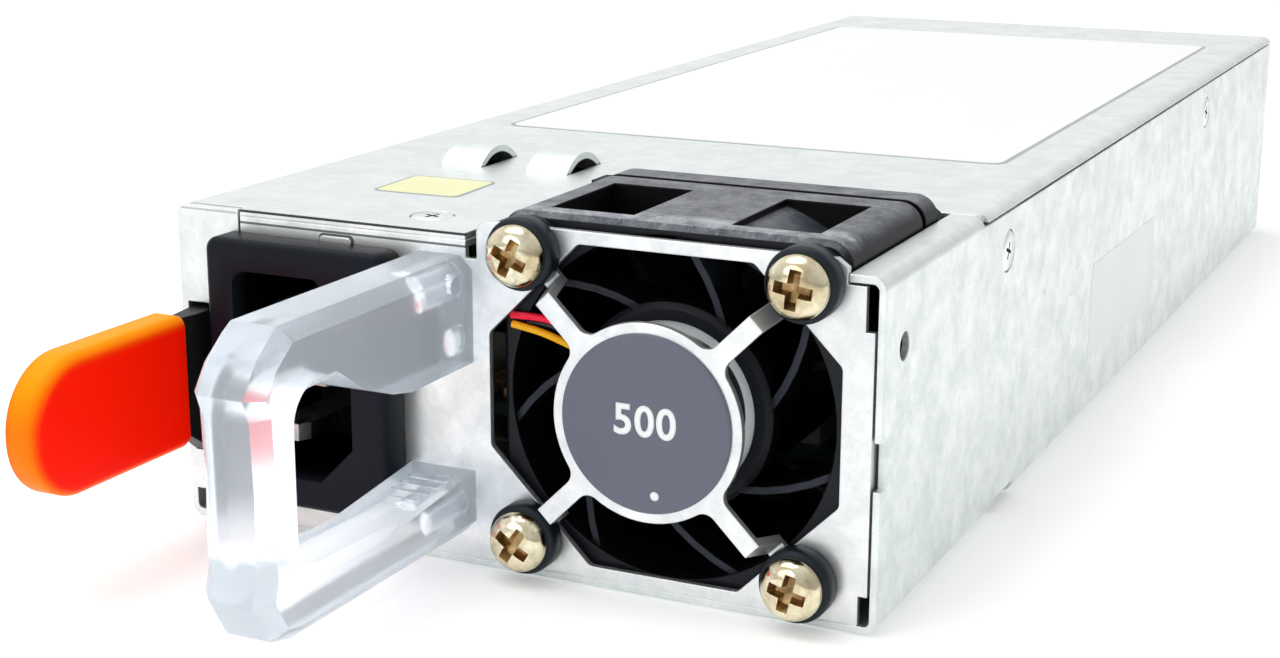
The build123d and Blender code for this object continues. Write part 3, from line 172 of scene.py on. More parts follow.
def zinc_bloom_group():
    """Cloudy crystals of a zinc coating: a colour, a roughness and a height."""
    tree, given, made = group_tree(
        "zinc bloom",
        [("Light", "NodeSocketColor", (0.9, 0.9, 0.9, 1)),
         ("Dark", "NodeSocketColor", (0.7, 0.7, 0.7, 1)),
         ("Crystal Scale", "NodeSocketFloat", 420.0),
         ("Smooth", "NodeSocketFloat", 0.3),
         ("Rough", "NodeSocketFloat", 0.5)],
        [("Color", "NodeSocketColor"), ("Roughness", "NodeSocketFloat"), ("Height", "NodeSocketFloat")])
    place = object_place(tree)
    drift = node(tree, "ShaderNodeTexNoise", None, {"Vector": place, "Scale": 420.0}).outputs["Color"]
    bent = node(tree, "ShaderNodeVectorMath", {"operation": "MULTIPLY_ADD"},
                {0: drift, 1: (3 * mm, 3 * mm, 3 * mm), 2: place}).outputs["Vector"]
    crystal = node(tree, "ShaderNodeTexVoronoi", {"feature": "F1"},
                   {"Vector": bent, "Scale": given.outputs["Crystal Scale"]})
    parts = node(tree, "ShaderNodeSeparateColor", None, {"Color": crystal.outputs["Color"]})
    shade = parts.outputs["Red"]
    cloud = ramp(tree, noise(tree, place, 190.0, 7.0, 0.76), 0.40, 0.62)
    fine = noise(tree, place, 1900.0, 3.0, 0.7)
    total = calc(tree, "ADD", times(tree, shade, 0.22), times(tree, cloud, 0.52))
    total = calc(tree, "ADD", total, times(tree, fine, 0.32), held=True)
    colour = blend_colour(tree, total, given.outputs["Dark"], given.outputs["Light"])
    tree.links.new(colour, made.inputs["Color"])
    spread = calc(tree, "SUBTRACT", given.outputs["Rough"], given.outputs["Smooth"])
    rough = times(tree, spread, calc(tree, "SUBTRACT", 1.0, total))
    rough = calc(tree, "ADD", rough, given.outputs["Smooth"])
    tree.links.new(rough, made.inputs["Roughness"])
    height = calc(tree, "ADD", times(tree, shade, 0.3), times(tree, fine, 0.5))
    tree.links.new(height, made.inputs["Height"])
    return tree


def handling_marks_group():
    """Thin scratches in two slanting directions, which come and go in patches."""
    tree, given, made = group_tree(
        "handling marks",
        [("Along", "NodeSocketVector", (60.0, 6.0, 60.0)), ("Amount", "NodeSocketFloat", 0.5)],
        [("Mask", "NodeSocketFloat")])
    place = object_place(tree)
    lines = None
    for index, turn in enumerate((0.25, -0.9)):
        turned = node(tree, "ShaderNodeVectorRotate", {"rotation_type": "AXIS_ANGLE"},
                      {"Vector": place, "Axis": (0.6, 0.2, 0.77), "Angle": turn}).outputs["Vector"]
        drawn = stretched(tree, turned, given.outputs["Along"])
        line = ramp(tree, noise(tree, drawn, 9.0 + 3.0 * index, 4.0, 0.7), 0.66, 0.72)
        lines = line if lines is None else calc(tree, "MAXIMUM", lines, line)
    patches = ramp(tree, noise(tree, place, 26.0, 3.0), 0.45, 0.62)
    mask = times(tree, lines, patches)
    mask = calc(tree, "MULTIPLY", mask, given.outputs["Amount"], held=True)
    tree.links.new(mask, made.inputs["Mask"])
    return tree


def worn_edge_group():
    """A softened normal at sharp edges, and a mask that follows those edges unevenly."""
    tree, given, made = group_tree(
        "worn edge",
        [("Round", "NodeSocketFloat", 0.3 * mm), ("Amount", "NodeSocketFloat", 1.0)],
        [("Mask", "NodeSocketFloat"), ("Normal", "NodeSocketVector")])
    rounded = node(tree, "ShaderNodeBevel", {"samples": 4}, {"Radius": given.outputs["Round"]})
    soft = rounded.outputs["Normal"]
    same = agreement(tree, soft, true_normal(tree))
    broken = ramp(tree, noise(tree, object_place(tree), 300.0, 4.0, 0.6), 0.35, 0.6, 0.3, 1.0)
    edge = times(tree, ramp(tree, same, 0.99, 0.8), broken)
    mask = calc(tree, "MULTIPLY", edge, given.outputs["Amount"], held=True)
    tree.links.new(mask, made.inputs["Mask"])
    tree.links.new(soft, made.inputs["Normal"])
    return tree


def settled_dust_group():
    """Dust that lies thickest on faces turned one way."""
    tree, given, made = group_tree(
        "settled dust",
        [("Towards", "NodeSocketVector", (0.0, 0.0, 1.0)), ("Amount", "NodeSocketFloat", 0.6),
         ("Floor Level", "NodeSocketFloat", 0.25)],
        [("Mask", "NodeSocketFloat")])
    facing = agreement(tree, true_normal(tree), given.outputs["Towards"])
    place = object_place(tree)
    film = ramp(tree, noise(tree, place, 240.0, 8.0, 0.8), 0.38, 0.62, 0.2, 1.0)
    specks = ramp(tree, noise(tree, place, 1400.0, 2.0), 0.58, 0.68)
    lying = ramp(tree, facing, given.outputs["Floor Level"], 1.0)
    total = calc(tree, "ADD", times(tree, lying, film), times(tree, specks, 0.3))
    mask = calc(tree, "MULTIPLY", total, given.outputs["Amount"], held=True)
    tree.links.new(mask, made.inputs["Mask"])
    return tree


def mould_grain_group():
    """Fine grain and slow waves of a moulded surface."""
    tree, given, made = group_tree(
        "mould grain",
        [("Grain Scale", "NodeSocketFloat", 1800.0), ("Waves", "NodeSocketFloat", 0.3)],
        [("Height", "NodeSocketFloat"), ("Shade", "NodeSocketFloat")])
    place = object_place(tree)
    grain = noise(tree, place, given.outputs["Grain Scale"], 2.0)
    wave = noise(tree, place, 90.0)
    height = calc(tree, "ADD", grain, times(tree, wave, given.outputs["Waves"]))
    tree.links.new(height, made.inputs["Height"])
    shade = calc(tree, "ADD", times(tree, grain, 0.4), times(tree, wave, 0.6))
    tree.links.new(shade, made.inputs["Shade"])
    return tree


zinc_bloom = zinc_bloom_group()
handling_marks = handling_marks_group()
worn_edge = worn_edge_group()
settled_dust = settled_dust_group()
mould_grain = mould_grain_group()


def use_group(tree, group, inputs=None):
    """A group placed in a material with its own values."""
    return node(tree, "ShaderNodeGroup", {"node_tree": group}, inputs)


def new_finish(name, **values):
    """A material with its tree and shader, and with plain values set on the shader."""
    made = bpy.data.materials.new(name)
    made.use_nodes = True
    shader = made.node_tree.nodes["Principled BSDF"]
    for key, value in values.items():
        shader.inputs[key.replace("_", " ")].default_value = value
    return made, made.node_tree, shader


def raise_surface(tree, shader, height, strength, distance, normal=None):
    """A bump from a height, over the surface's own or a softened normal."""
    bump = node(tree, "ShaderNodeBump", None,
                {"Height": height, "Strength": strength, "Distance": distance})
    if normal is not None:
        tree.links.new(normal, bump.inputs["Normal"])
    tree.links.new(bump.outputs["Normal"], shader.inputs["Normal"])


def sheet_finish(name, light, dark, smooth, rough, marks=0.5, front_shadow_line=None):
    """Zinc coated sheet steel with cloudy crystals, rubs and bright worn edges. The painted shadow line
    along a front bend or seam is given by its lowest and highest place, its right end and its strength."""
    rubbed = (0.50, 0.52, 0.53, 1)
    bright = (0.93, 0.94, 0.94, 1)
    shadow = (0.05, 0.055, 0.06, 1)
    made, tree, shader = new_finish(name, Metallic=0.85)
    bloom = use_group(tree, zinc_bloom, {"Light": light, "Dark": dark, "Smooth": smooth, "Rough": rough})
    rubs = use_group(tree, handling_marks, {"Amount": marks})
    edge = use_group(tree, worn_edge, {"Round": 0.22 * mm, "Amount": 0.7})
    colour = blend_colour(tree, rubs.outputs["Mask"], bloom.outputs["Color"], rubbed)
    colour = blend_colour(tree, edge.outputs["Mask"], colour, bright)
    # Painted shadow: a dark line along a front bend or seam
    if front_shadow_line:
        lowest, highest, right_end, strength = front_shadow_line
        at = parts_of(tree, object_place(tree))
        height = band(tree, at["Z"], lowest, highest, 0.05 * mm)
        front = ramp(tree, at["Y"], case_front + 0.3 * mm, case_front + 0.15 * mm)
        across = ramp(tree, at["X"], right_end, right_end - 0.1 * mm, 0.0, strength)
        line = times(tree, times(tree, height, front), across)
        colour = blend_colour(tree, line, colour, shadow)
    tree.links.new(colour, shader.inputs["Base Color"])
    tree.links.new(bloom.outputs["Roughness"], shader.inputs["Roughness"])
    raise_surface(tree, shader, bloom.outputs["Height"], 0.06, 0.2 * mm, edge.outputs["Normal"])
    return made


def moulded_finish(name, colour, shade, roughness, grain=0.15, worn=None, shine=0.5, shade_behind=None):
    """Moulded plastic or rubber: fine grain, a slow change of shade and dull worn edges. Behind a place
    along Y, if one is given, it takes a painted shade that turns it black, as in the depth of a hollow."""
    made, tree, shader = new_finish(name, Roughness=roughness, Specular_IOR_Level=shine)
    surface = use_group(tree, mould_grain)
    edge = use_group(tree, worn_edge, {"Round": 0.3 * mm, "Amount": 0.5})
    mixed = blend_colour(tree, surface.outputs["Shade"], colour, shade)
    if worn:
        mixed = blend_colour(tree, edge.outputs["Mask"], mixed, worn)
    # Painted shade that turns the inside of a hollow black
    if shade_behind:
        depth = parts_of(tree, object_place(tree))["Y"]
        recess_shade = ramp(tree, depth, shade_behind, shade_behind + 2.0 * mm)
        mixed = blend_colour(tree, recess_shade, mixed, (0.0003, 0.0003, 0.0005, 1))
    tree.links.new(mixed, shader.inputs["Base Color"])
    raise_surface(tree, shader, surface.outputs["Height"], grain, 0.1 * mm, edge.outputs["Normal"])
    return made


def fan_finish():
    """Black plastic of the fan's frame. Faces turned to the front near its front edge carry a painted
    highlight in grey, most of all on the vanes. The top faces are painted lighter, as light falls from
    above, and dust lies on the top, palest on the front flange."""
    black = (0.0018, 0.0019, 0.0024, 1)
    soft_black = (0.0035, 0.0038, 0.0048, 1)
    # Painted highlight for faces turned to the front, and painted light for the top faces
    lit_rim_grey = (0.030, 0.035, 0.047, 1)
    lit_top_grey = (0.018, 0.024, 0.038, 1)
    grey_dust = (0.23, 0.24, 0.26, 1)
    pale_dust = (0.50, 0.52, 0.56, 1)
    made, tree, shader = new_finish("fan plastic", Roughness=0.42, Specular_IOR_Level=0.18)
    surface = use_group(tree, mould_grain)
    edge = use_group(tree, worn_edge, {"Round": 0.3 * mm, "Amount": 0.5})
    at = parts_of(tree, object_place(tree))
    facing = parts_of(tree, true_normal(tree))
    # Painted highlight on faces turned to the front near the front edge, strongest on the vanes
    front_faces_lit = ramp(tree, facing["Y"], -0.3, -0.8)
    lit_rim = times(tree, front_faces_lit, ramp(tree, at["Y"], fan_low.y + 1.3 * mm, fan_low.y + 0.9 * mm))
    lit_rim = times(tree, lit_rim, ramp(tree, surface.outputs["Shade"], 0.3, 0.7, 0.75, 1.0))
    vanes = band(tree, fan_distance(tree, at), 12.2 * mm, 18.3 * mm, 0.3 * mm)
    lit_rim = times(tree, lit_rim, ramp(tree, vanes, 0.0, 1.0, 0.3, 1.0))
    mixed = blend_colour(tree, surface.outputs["Shade"], black, soft_black)
    mixed = blend_colour(tree, lit_rim, mixed, lit_rim_grey)
    # Top faces near the top, which take painted light and on which dust lies
    outside = ramp(tree, at["Z"], fan_high.z - 7.0 * mm, fan_high.z - 5.0 * mm)
    upward = times(tree, ramp(tree, facing["Z"], 0.2, 0.9), outside)
    dust = use_group(tree, settled_dust, {"Amount": 0.95})
    top = ramp(tree, at["Z"], fan_high.z - 2.2 * mm, fan_high.z - 0.2 * mm, 0.25, 1.0)
    lying = times(tree, times(tree, dust.outputs["Mask"], top), upward)
    flange = ramp(tree, at["Y"], fan_low.y + 5.5 * mm, fan_low.y + 3.5 * mm)
    dust_colour = blend_colour(tree, flange, grey_dust, pale_dust)
    # Painted light on the top faces
    mixed = blend_colour(tree, upward, mixed, lit_top_grey)
    mixed = blend_colour(tree, lying, mixed, dust_colour)
    tree.links.new(mixed, shader.inputs["Base Color"])
    raise_surface(tree, shader, surface.outputs["Height"], 0.2, 0.1 * mm, edge.outputs["Normal"])
    return made


def plated_finish(name, light, dark, smooth, rough):
    """Plated or drawn metal with small tarnished clouds."""
    made, tree, shader = new_finish(name, Metallic=1.0)
    place = object_place(tree)
    cloud = ramp(tree, noise(tree, place, 380.0, 4.0, 0.6), 0.35, 0.65)
    edge = use_group(tree, worn_edge, {"Round": 0.15 * mm, "Amount": 0.4})
    colour = blend_colour(tree, cloud, dark, light)
    tree.links.new(colour, shader.inputs["Base Color"])
    tree.links.new(ramp(tree, cloud, 0.0, 1.0, rough, smooth), shader.inputs["Roughness"])
    raise_surface(tree, shader, noise(tree, place, 2400.0), 0.05, 0.1 * mm, edge.outputs["Normal"])
    return made


def frosted_finish():
    """Frosted clear plastic of the handle: a milky, faintly blue body with slow clouds. A weak glow stands
    for the light scattered inside it."""
    made, tree, shader = new_finish("frosted plastic", IOR=1.36, Transmission_Weight=0.86,
                                    Emission_Strength=0.095)
    surface = use_group(tree, mould_grain, {"Grain Scale": 1400.0, "Waves": 0.4})
    flow = noise(tree, object_place(tree), 40.0, 2.0, 0.4)
    colour = blend_colour(tree, flow, (0.92, 0.96, 1.0, 1), (0.97, 0.985, 1.0, 1))
    glow = blend_colour(tree, flow, (0.70, 0.84, 1.0, 1), (0.84, 0.92, 1.0, 1))
    tree.links.new(colour, shader.inputs["Base Color"])
    tree.links.new(glow, shader.inputs["Emission Color"])
    tree.links.new(ramp(tree, flow, 0.2, 0.8, 0.28, 0.20), shader.inputs["Roughness"])
    raise_surface(tree, shader, surface.outputs["Height"], 0.02, 0.1 * mm)
    return made


def orange_finish():
    """Orange moulded plastic of the release tab: red on its broad sides, with painted light that makes it
    orange round the edges and palest on top. A weak glow, painted light, stands for the light scattered
    inside it."""
    deep_red = (0.98, 0.006, 0.0, 1)
    red = (1.0, 0.011, 0.0, 1)
    # Painted light: orange round the edges and palest on top
    lit_rim_orange = (1.0, 0.17, 0.0, 1)
    lit_top_orange = (1.0, 0.33, 0.0, 1)
    made, tree, shader = new_finish("orange plastic", Roughness=0.45, Specular_IOR_Level=0.08,
                                    Emission_Strength=0.23)
    surface = use_group(tree, mould_grain, {"Grain Scale": 1500.0, "Waves": 0.5})
    edge = use_group(tree, worn_edge, {"Round": 1.6 * mm, "Amount": 1.0})
    facing = parts_of(tree, edge.outputs["Normal"])
    # Painted light round the edges, away from the broad sides
    lit_rim = ramp(tree, calc(tree, "ABSOLUTE", facing["X"]), 0.92, 0.45)
    colour = blend_colour(tree, surface.outputs["Shade"], deep_red, red)
    colour = blend_colour(tree, lit_rim, colour, lit_rim_orange)
    # Painted light on faces turned up
    colour = blend_colour(tree, ramp(tree, facing["Z"], 0.15, 0.95), colour, lit_top_orange)
    tree.links.new(colour, shader.inputs["Base Color"])
    # The glow, painted light, takes the same colour
    tree.links.new(colour, shader.inputs["Emission Color"])
    raise_surface(tree, shader, surface.outputs["Height"], 0.12, 0.1 * mm, edge.outputs["Normal"])
    return made


def circuit_finish():
    """Green lacquered board with faint copper tracks below the lacquer."""
    made, tree, shader = new_finish("circuit board", Roughness=0.35, Coat_Weight=0.4)
    place = object_place(tree)
    tracks = node(tree, "ShaderNodeTexBrick", {"offset": 0.37},
                  {"Vector": place, "Scale": 60.0, "Mortar Size": 0.03, "Color1": (0.010, 0.10, 0.045, 1),
                   "Color2": (0.016, 0.13, 0.055, 1), "Mortar": (0.05, 0.24, 0.10, 1)}).outputs["Color"]
    fine = noise(tree, place, 900.0)
    colour = blend_colour(tree, times(tree, fine, 0.3), tracks, (0.02, 0.16, 0.07, 1))
    tree.links.new(colour, shader.inputs["Base Color"])
    raise_surface(tree, shader, fine, 0.05, 0.1 * mm)
    return made


def print_and_shadow_finish(name, face, shade, roughness):
    """Paper or foil with a faint uneven tone, also used for flat painted shadow."""
    made, tree, shader = new_finish(name, Roughness=roughness)
    place = object_place(tree)
    tone = ramp(tree, noise(tree, place, 55.0, 5.0, 0.6), 0.3, 0.7)
    fibre = noise(tree, place, 2600.0, 2.0)
    colour = blend_colour(tree, tone, shade, face)
    tree.links.new(colour, shader.inputs["Base Color"])
    raise_surface(tree, shader, fibre, 0.04, 0.1 * mm)
    return made


def motor_label_finish():
    """Pale silver paper of the motor's label, with a dark ring round its right half."""
    made, tree, shader = new_finish("motor label", Roughness=0.4)
    place = object_place(tree)
    at = parts_of(tree, place)
    ring = band(tree, fan_distance(tree, at), 7.3 * mm, 8.3 * mm, 0.08 * mm)
    right_half = ramp(tree, at["X"], fan_x, fan_x + 4.0 * mm)
    tone = ramp(tree, noise(tree, place, 160.0, 4.0), 0.3, 0.7)
    colour = blend_colour(tree, tone, (0.86, 0.93, 0.95, 1), (0.93, 0.98, 0.99, 1))
    colour = blend_colour(tree, times(tree, ring, right_half), colour, (0.012, 0.014, 0.018, 1))
    tree.links.new(colour, shader.inputs["Base Color"])
    return made


def foam_finish():
    """Open cell foam of the seal."""
    made, tree, shader = new_finish("foam", Roughness=0.95)
    cells = node(tree, "ShaderNodeTexVoronoi", {"feature": "F1"},
                 {"Vector": object_place(tree), "Scale": 1300.0}).outputs["Distance"]
    colour = blend_colour(tree, cells, (0.012, 0.012, 0.013, 1), (0.05, 0.052, 0.056, 1))
    tree.links.new(colour, shader.inputs["Base Color"])
    raise_surface(tree, shader, cells, 0.6, 0.4 * mm)
    return made


def wound_finish(name, light, dark, turns, axis_scale):
    """A winding: lacquered wire lying turn beside turn."""
    made, tree, shader = new_finish(name, Roughness=0.3, Metallic=0.6)
    drawn = stretched(tree, object_place(tree), axis_scale)
    wave = node(tree, "ShaderNodeTexWave", None,
                {"Vector": drawn, "Scale": turns, "Distortion": 1.5}).outputs["Fac"]
    tree.links.new(blend_colour(tree, wave, dark, light), shader.inputs["Base Color"])
    raise_surface(tree, shader, wave, 0.5, 0.4 * mm)
    return made


# Each painted shadow line along a front bend or seam is given by its lowest and highest place, its right
# end and its strength
tray_shadow_line = (case_top - 0.60 * mm, case_top - 0.42 * mm, case_left + 8.4 * mm, 0.4)
cover_shadow_line = (case_top - 0.30 * mm, case_top - 0.04 * mm, case_right, 1.0)
panel_shadow_line = (case_top - 1.62 * mm, case_top - 1.40 * mm, case_left + 39.0 * mm, 0.85)

# Sheet: name, light and dark crystals, smoothest and roughest
zinc_sheet = sheet_finish("zinc sheet", (0.87, 0.92, 0.91, 1), (0.64, 0.695, 0.69, 1), 0.30, 0.46,
                          front_shadow_line=tray_shadow_line)
cover_sheet = sheet_finish("cover sheet", (0.88, 0.925, 0.915, 1), (0.67, 0.72, 0.715, 1), 0.30, 0.46,
                           front_shadow_line=cover_shadow_line)
panel_sheet = sheet_finish("panel sheet", (0.92, 0.93, 0.925, 1), (0.66, 0.69, 0.70, 1), 0.28, 0.42, 0.3,
                           front_shadow_line=panel_shadow_line)

# Plated and drawn metal: name, light and tarnished colour, smoothest and roughest
spring_sheet = plated_finish("spring sheet", (0.70, 0.71, 0.70, 1), (0.50, 0.52, 0.53, 1), 0.25, 0.4)
bright_zinc = plated_finish("bright zinc", (0.92, 0.93, 0.93, 1), (0.78, 0.80, 0.81, 1), 0.26, 0.40)
nickel = plated_finish("nickel", (0.90, 0.83, 0.62, 1), (0.52, 0.43, 0.25, 1), 0.10, 0.22)
recess_nickel = plated_finish("recess nickel", (0.62, 0.45, 0.22, 1), (0.20, 0.12, 0.05, 1), 0.2, 0.4)
tin_blade = plated_finish("tin blade", (0.55, 0.55, 0.54, 1), (0.32, 0.32, 0.32, 1), 0.25, 0.4)
copper = plated_finish("copper", (0.86, 0.47, 0.30, 1), (0.60, 0.28, 0.16, 1), 0.25, 0.45)
gold = plated_finish("gold contact", (0.95, 0.70, 0.30, 1), (0.78, 0.54, 0.20, 1), 0.18, 0.3)
aluminium = plated_finish("aluminium", (0.78, 0.79, 0.80, 1), (0.60, 0.61, 0.63, 1), 0.3, 0.48)

# Plastic and rubber: name, two shades, roughness, grain, worn colour
ferrite = moulded_finish("ferrite", (0.030, 0.030, 0.032, 1), (0.055, 0.055, 0.058, 1), 0.6, 0.3)
black_plastic = moulded_finish("black plastic", (0.0016, 0.0026, 0.0065, 1), (0.004, 0.006, 0.012, 1),
                               0.4, 0.2, (0.030, 0.035, 0.047, 1), shine=0.12)
# The inlet takes painted shade inside its socket, behind its front face
inlet_plastic = moulded_finish("inlet plastic", (0.003, 0.0046, 0.0090, 1), (0.007, 0.0095, 0.0165, 1),
                               0.4, 0.2, (0.036, 0.043, 0.058, 1), shine=0.12,
                               shade_behind=inlet_front + 1.0 * mm)
lever_plastic = moulded_finish("lever plastic", (0.009, 0.009, 0.010, 1), (0.016, 0.016, 0.018, 1),
                               0.42, 0.2, (0.03, 0.032, 0.038, 1), shine=0.2)
rotor_plastic = moulded_finish("rotor plastic", (0.0015, 0.0016, 0.002, 1), (0.003, 0.0032, 0.004, 1),
                               0.5, 0.15, (0.006, 0.007, 0.009, 1), shine=0.1)
rubber = moulded_finish("rubber", (0.004, 0.0075, 0.012, 1), (0.009, 0.015, 0.022, 1), 0.42, 0.25,
                        (0.02, 0.027, 0.035, 1), shine=0.25)
badge_print = moulded_finish("badge print", (0.120, 0.130, 0.172, 1), (0.142, 0.155, 0.196, 1),
                             0.5, 0.08, shine=0.3)
number_print = moulded_finish("number print", (0.86, 0.87, 0.88, 1), (0.93, 0.93, 0.94, 1), 0.5, 0.05)
film_sheet = moulded_finish("film sheet", (0.62, 0.60, 0.50, 1), (0.70, 0.68, 0.58, 1), 0.4, 0.05)
sleeve = moulded_finish("capacitor sleeve", (0.012, 0.014, 0.045, 1), (0.02, 0.024, 0.07, 1), 0.3, 0.05)
box_yellow = moulded_finish("film box", (0.70, 0.52, 0.10, 1), (0.78, 0.60, 0.16, 1), 0.45, 0.1)
blue_lacquer = moulded_finish("blue lacquer", (0.03, 0.12, 0.42, 1), (0.05, 0.18, 0.52, 1), 0.25, 0.1)
ceramic = moulded_finish("fuse ceramic", (0.78, 0.76, 0.70, 1), (0.85, 0.83, 0.78, 1), 0.4, 0.1)
nylon = moulded_finish("white nylon", (0.78, 0.77, 0.72, 1), (0.86, 0.85, 0.81, 1), 0.45, 0.1)
tape = moulded_finish("winding tape", (0.72, 0.50, 0.06, 1), (0.80, 0.60, 0.10, 1), 0.3, 0.05)
lens = moulded_finish("lamp lens", (0.75, 0.80, 0.78, 1), (0.85, 0.90, 0.88, 1), 0.2, 0.05)
red_wire = moulded_finish("red wire", (1.0, 0.004, 0.045, 1), (1.0, 0.008, 0.055, 1), 0.3, 0.05,
                          shine=0.3)
yellow_wire = moulded_finish("yellow wire", (1.0, 0.44, 0.0, 1), (1.0, 0.52, 0.004, 1), 0.3, 0.05,
                             shine=0.3)
black_wire = moulded_finish("black wire", (0.012, 0.012, 0.014, 1), (0.02, 0.02, 0.022, 1), 0.35, 0.05)

# Paper and print, and painted shadow: name, two shades, roughness
label_paper = print_and_shadow_finish("label paper", (0.985, 0.985, 0.985, 1), (0.96, 0.965, 0.97, 1), 0.42)
faded_label = print_and_shadow_finish("faded label", (0.90, 0.93, 0.925, 1), (0.84, 0.87, 0.865, 1), 0.35)
yellow_paper = print_and_shadow_finish("yellow paper", (0.93, 0.93, 0.55, 1), (0.87, 0.87, 0.46, 1), 0.4)
# Painted shadow round the edge of the roof label
label_edge_shadow = print_and_shadow_finish("label edge shadow", (0.46, 0.50, 0.49, 1), (0.36, 0.40, 0.39, 1), 0.5)
grey_print = print_and_shadow_finish("grey print", (0.42, 0.44, 0.45, 1), (0.33, 0.35, 0.36, 1), 0.5)
# Painted shadow for seams, gaps and screw recesses
seam_shadow = print_and_shadow_finish("seam shadow", (0.10, 0.11, 0.115, 1), (0.06, 0.065, 0.07, 1), 0.6)

# Windings: name, light and dark wire, turns, and how the place is drawn out
choke_wire = wound_finish("choke wire", (0.80, 0.38, 0.16, 1), (0.30, 0.10, 0.04, 1), 130.0,
                          (1.0, 1.0, 0.1))
coil_wire = wound_finish("coil wire", (0.80, 0.36, 0.14, 1), (0.34, 0.12, 0.05, 1), 260.0,
                         (0.1, 1.0, 0.1))

fan_plastic = fan_finish()
frosted = frosted_finish()
orange = orange_finish()
circuit = circuit_finish()
motor_label = motor_label_finish()
foam = foam_finish()

# The finish of each node. A node that new pieces replace keeps one too, though it isn't shown.
finishes = {
    "chassis_tray": zinc_sheet, "top_cover": cover_sheet, "front_panel": panel_sheet,
    "rear_panel": zinc_sheet, "cover_screws": bright_zinc, "inlet_housing": inlet_plastic,
    "inlet_pins": tin_blade, "handle": frosted, "handle_screws": bright_zinc, "status_lamp": lens,
    "latch_lever": lever_plastic, "latch_tab": orange, "latch_bracket": zinc_sheet,
    "latch_pin": bright_zinc, "latch_spring": spring_sheet, "fan_frame": fan_plastic,
    "fan_rotor": rotor_plastic, "fan_shaft": bright_zinc, "fan_bearings": gold, "fan_magnet": ferrite,
    "fan_stator": spring_sheet, "fan_coils": coil_wire, "fan_circuit_board": circuit,
    "fan_label": motor_label, "fan_wires": red_wire, "fan_screws": nickel, "fan_grommets": rubber,
    "guard_badge": badge_print, "fan_seal": foam, "main_board": circuit, "edge_contacts": gold,
    "board_standoffs": bright_zinc, "board_screws": bright_zinc, "insulating_sheet": film_sheet,
    "bulk_capacitor": sleeve, "output_capacitors": sleeve, "input_choke": choke_wire,
    "boost_choke": choke_wire, "output_choke": choke_wire, "transformer_core": ferrite,
    "transformer_winding": tape, "standby_transformer": tape, "film_capacitors": box_yellow,
    "disc_capacitors": blue_lacquer, "mains_relay": black_plastic, "mains_fuse": ceramic,
    "heat_sinks": aluminium, "power_transistors": black_plastic, "control_board": circuit,
    "fan_connector": nylon, "inlet_board": circuit, "inlet_straps": copper,
}
for name, finish in finishes.items():
    nodes[name].data.materials.clear()
    nodes[name].data.materials.append(finish)


def new_object(name, data):
    """A new object in the scene."""
    made = bpy.data.objects.new(name, data)
    bpy.context.scene.collection.objects.link(made)
    return made


def finished_mesh(made):
    """An object's mesh with its modifiers applied, or the mesh of a curve or text."""
    bpy.context.view_layer.update()
    return bpy.data.meshes.new_from_object(made.evaluated_get(bpy.context.evaluated_depsgraph_get()))


def mesh_of_curve(name, curve):
    """A curve or text as a plain mesh without finishes."""
    drawn = new_object(name, curve)
    mesh = finished_mesh(drawn)
    bpy.data.objects.remove(drawn)
    mesh.materials.clear()
    return mesh


def piece_of_mesh(name, mesh, finishes, body="case"):
    """A new piece from a finished mesh, with its finishes, riding on a body."""
    for each in finishes:
        mesh.materials.append(each)
    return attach(new_object(name, mesh), body)


def piece_from(name, shape, finishes, body="case", smooth=40.0):
    """A new piece from a finished bmesh. Edges sharper than an angle in degrees stay sharp."""
    mesh = bpy.data.meshes.new(name)
    bmesh.ops.recalc_face_normals(shape, faces=shape.faces)
    for face in shape.faces:
        face.smooth = True
    for edge in shape.edges:
        if len(edge.link_faces) == 2 and edge.calc_face_angle(0.0) > math.radians(smooth):
            edge.smooth = False
    shape.to_mesh(mesh)
    shape.free()
    return piece_of_mesh(name, mesh, finishes, body)


def turn_about(axis, degrees):
    """A turn about an axis through the origin."""
    return Matrix.Rotation(math.radians(degrees), 4, axis)


def round_edges(shape, edges, width, segments):
    """Round some of a shape's edges."""
    bmesh.ops.bevel(shape, geom=edges, offset=width, offset_type="OFFSET", affect="EDGES",
                    segments=segments, profile=0.5, clamp_overlap=True, material=-1)


def softened(name, node_name, width, segments, finish, body="case", corner=None, sharp_from=28.0):
    """A node's own shape with its sharp edges rounded, in place of the node. An edge is sharp past an angle
    in degrees. Corners, given by a radius and a test that picks their edges, are rounded first."""
    shape = bmesh.new()
    shape.from_mesh(nodes[node_name].data)
    bmesh.ops.remove_doubles(shape, verts=shape.verts, dist=0.004 * mm)
    bmesh.ops.dissolve_limit(shape, angle_limit=math.radians(1.0), verts=shape.verts, edges=shape.edges)
    if corner:
        radius, chosen = corner
        across = [edge for edge in shape.edges
                  if edge.calc_face_angle(0.0) > math.radians(12.0) and chosen(edge)]
        round_edges(shape, across, radius, 5)
    sharp = [edge for edge in shape.edges
             if len(edge.link_faces) == 2 and edge.calc_face_angle(0.0) > math.radians(sharp_from)]
    round_edges(shape, sharp, width, segments)
    made = piece_from(name, shape, [finish], body)
    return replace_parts(made, node_name)


def turned_shape(profile, steps=48):
    """A profile of radius and depth turned about the Y axis into a closed shape."""
    shape = bmesh.new()
    points = [shape.verts.new((radius, depth, 0.0)) for radius, depth in profile]
    for first, second in zip(points, points[1:]):
        shape.edges.new((first, second))
    if min(radius for radius, depth in profile) > 0:
        shape.edges.new((points[-1], points[0]))
    bmesh.ops.spin(shape, geom=shape.verts[:] + shape.edges[:], cent=(0, 0, 0), axis=(0, 1, 0),
                   dvec=(0, 0, 0), angle=2 * math.pi, steps=steps, use_merge=True)
    bmesh.ops.remove_doubles(shape, verts=shape.verts, dist=0.001 * mm)
    return shape


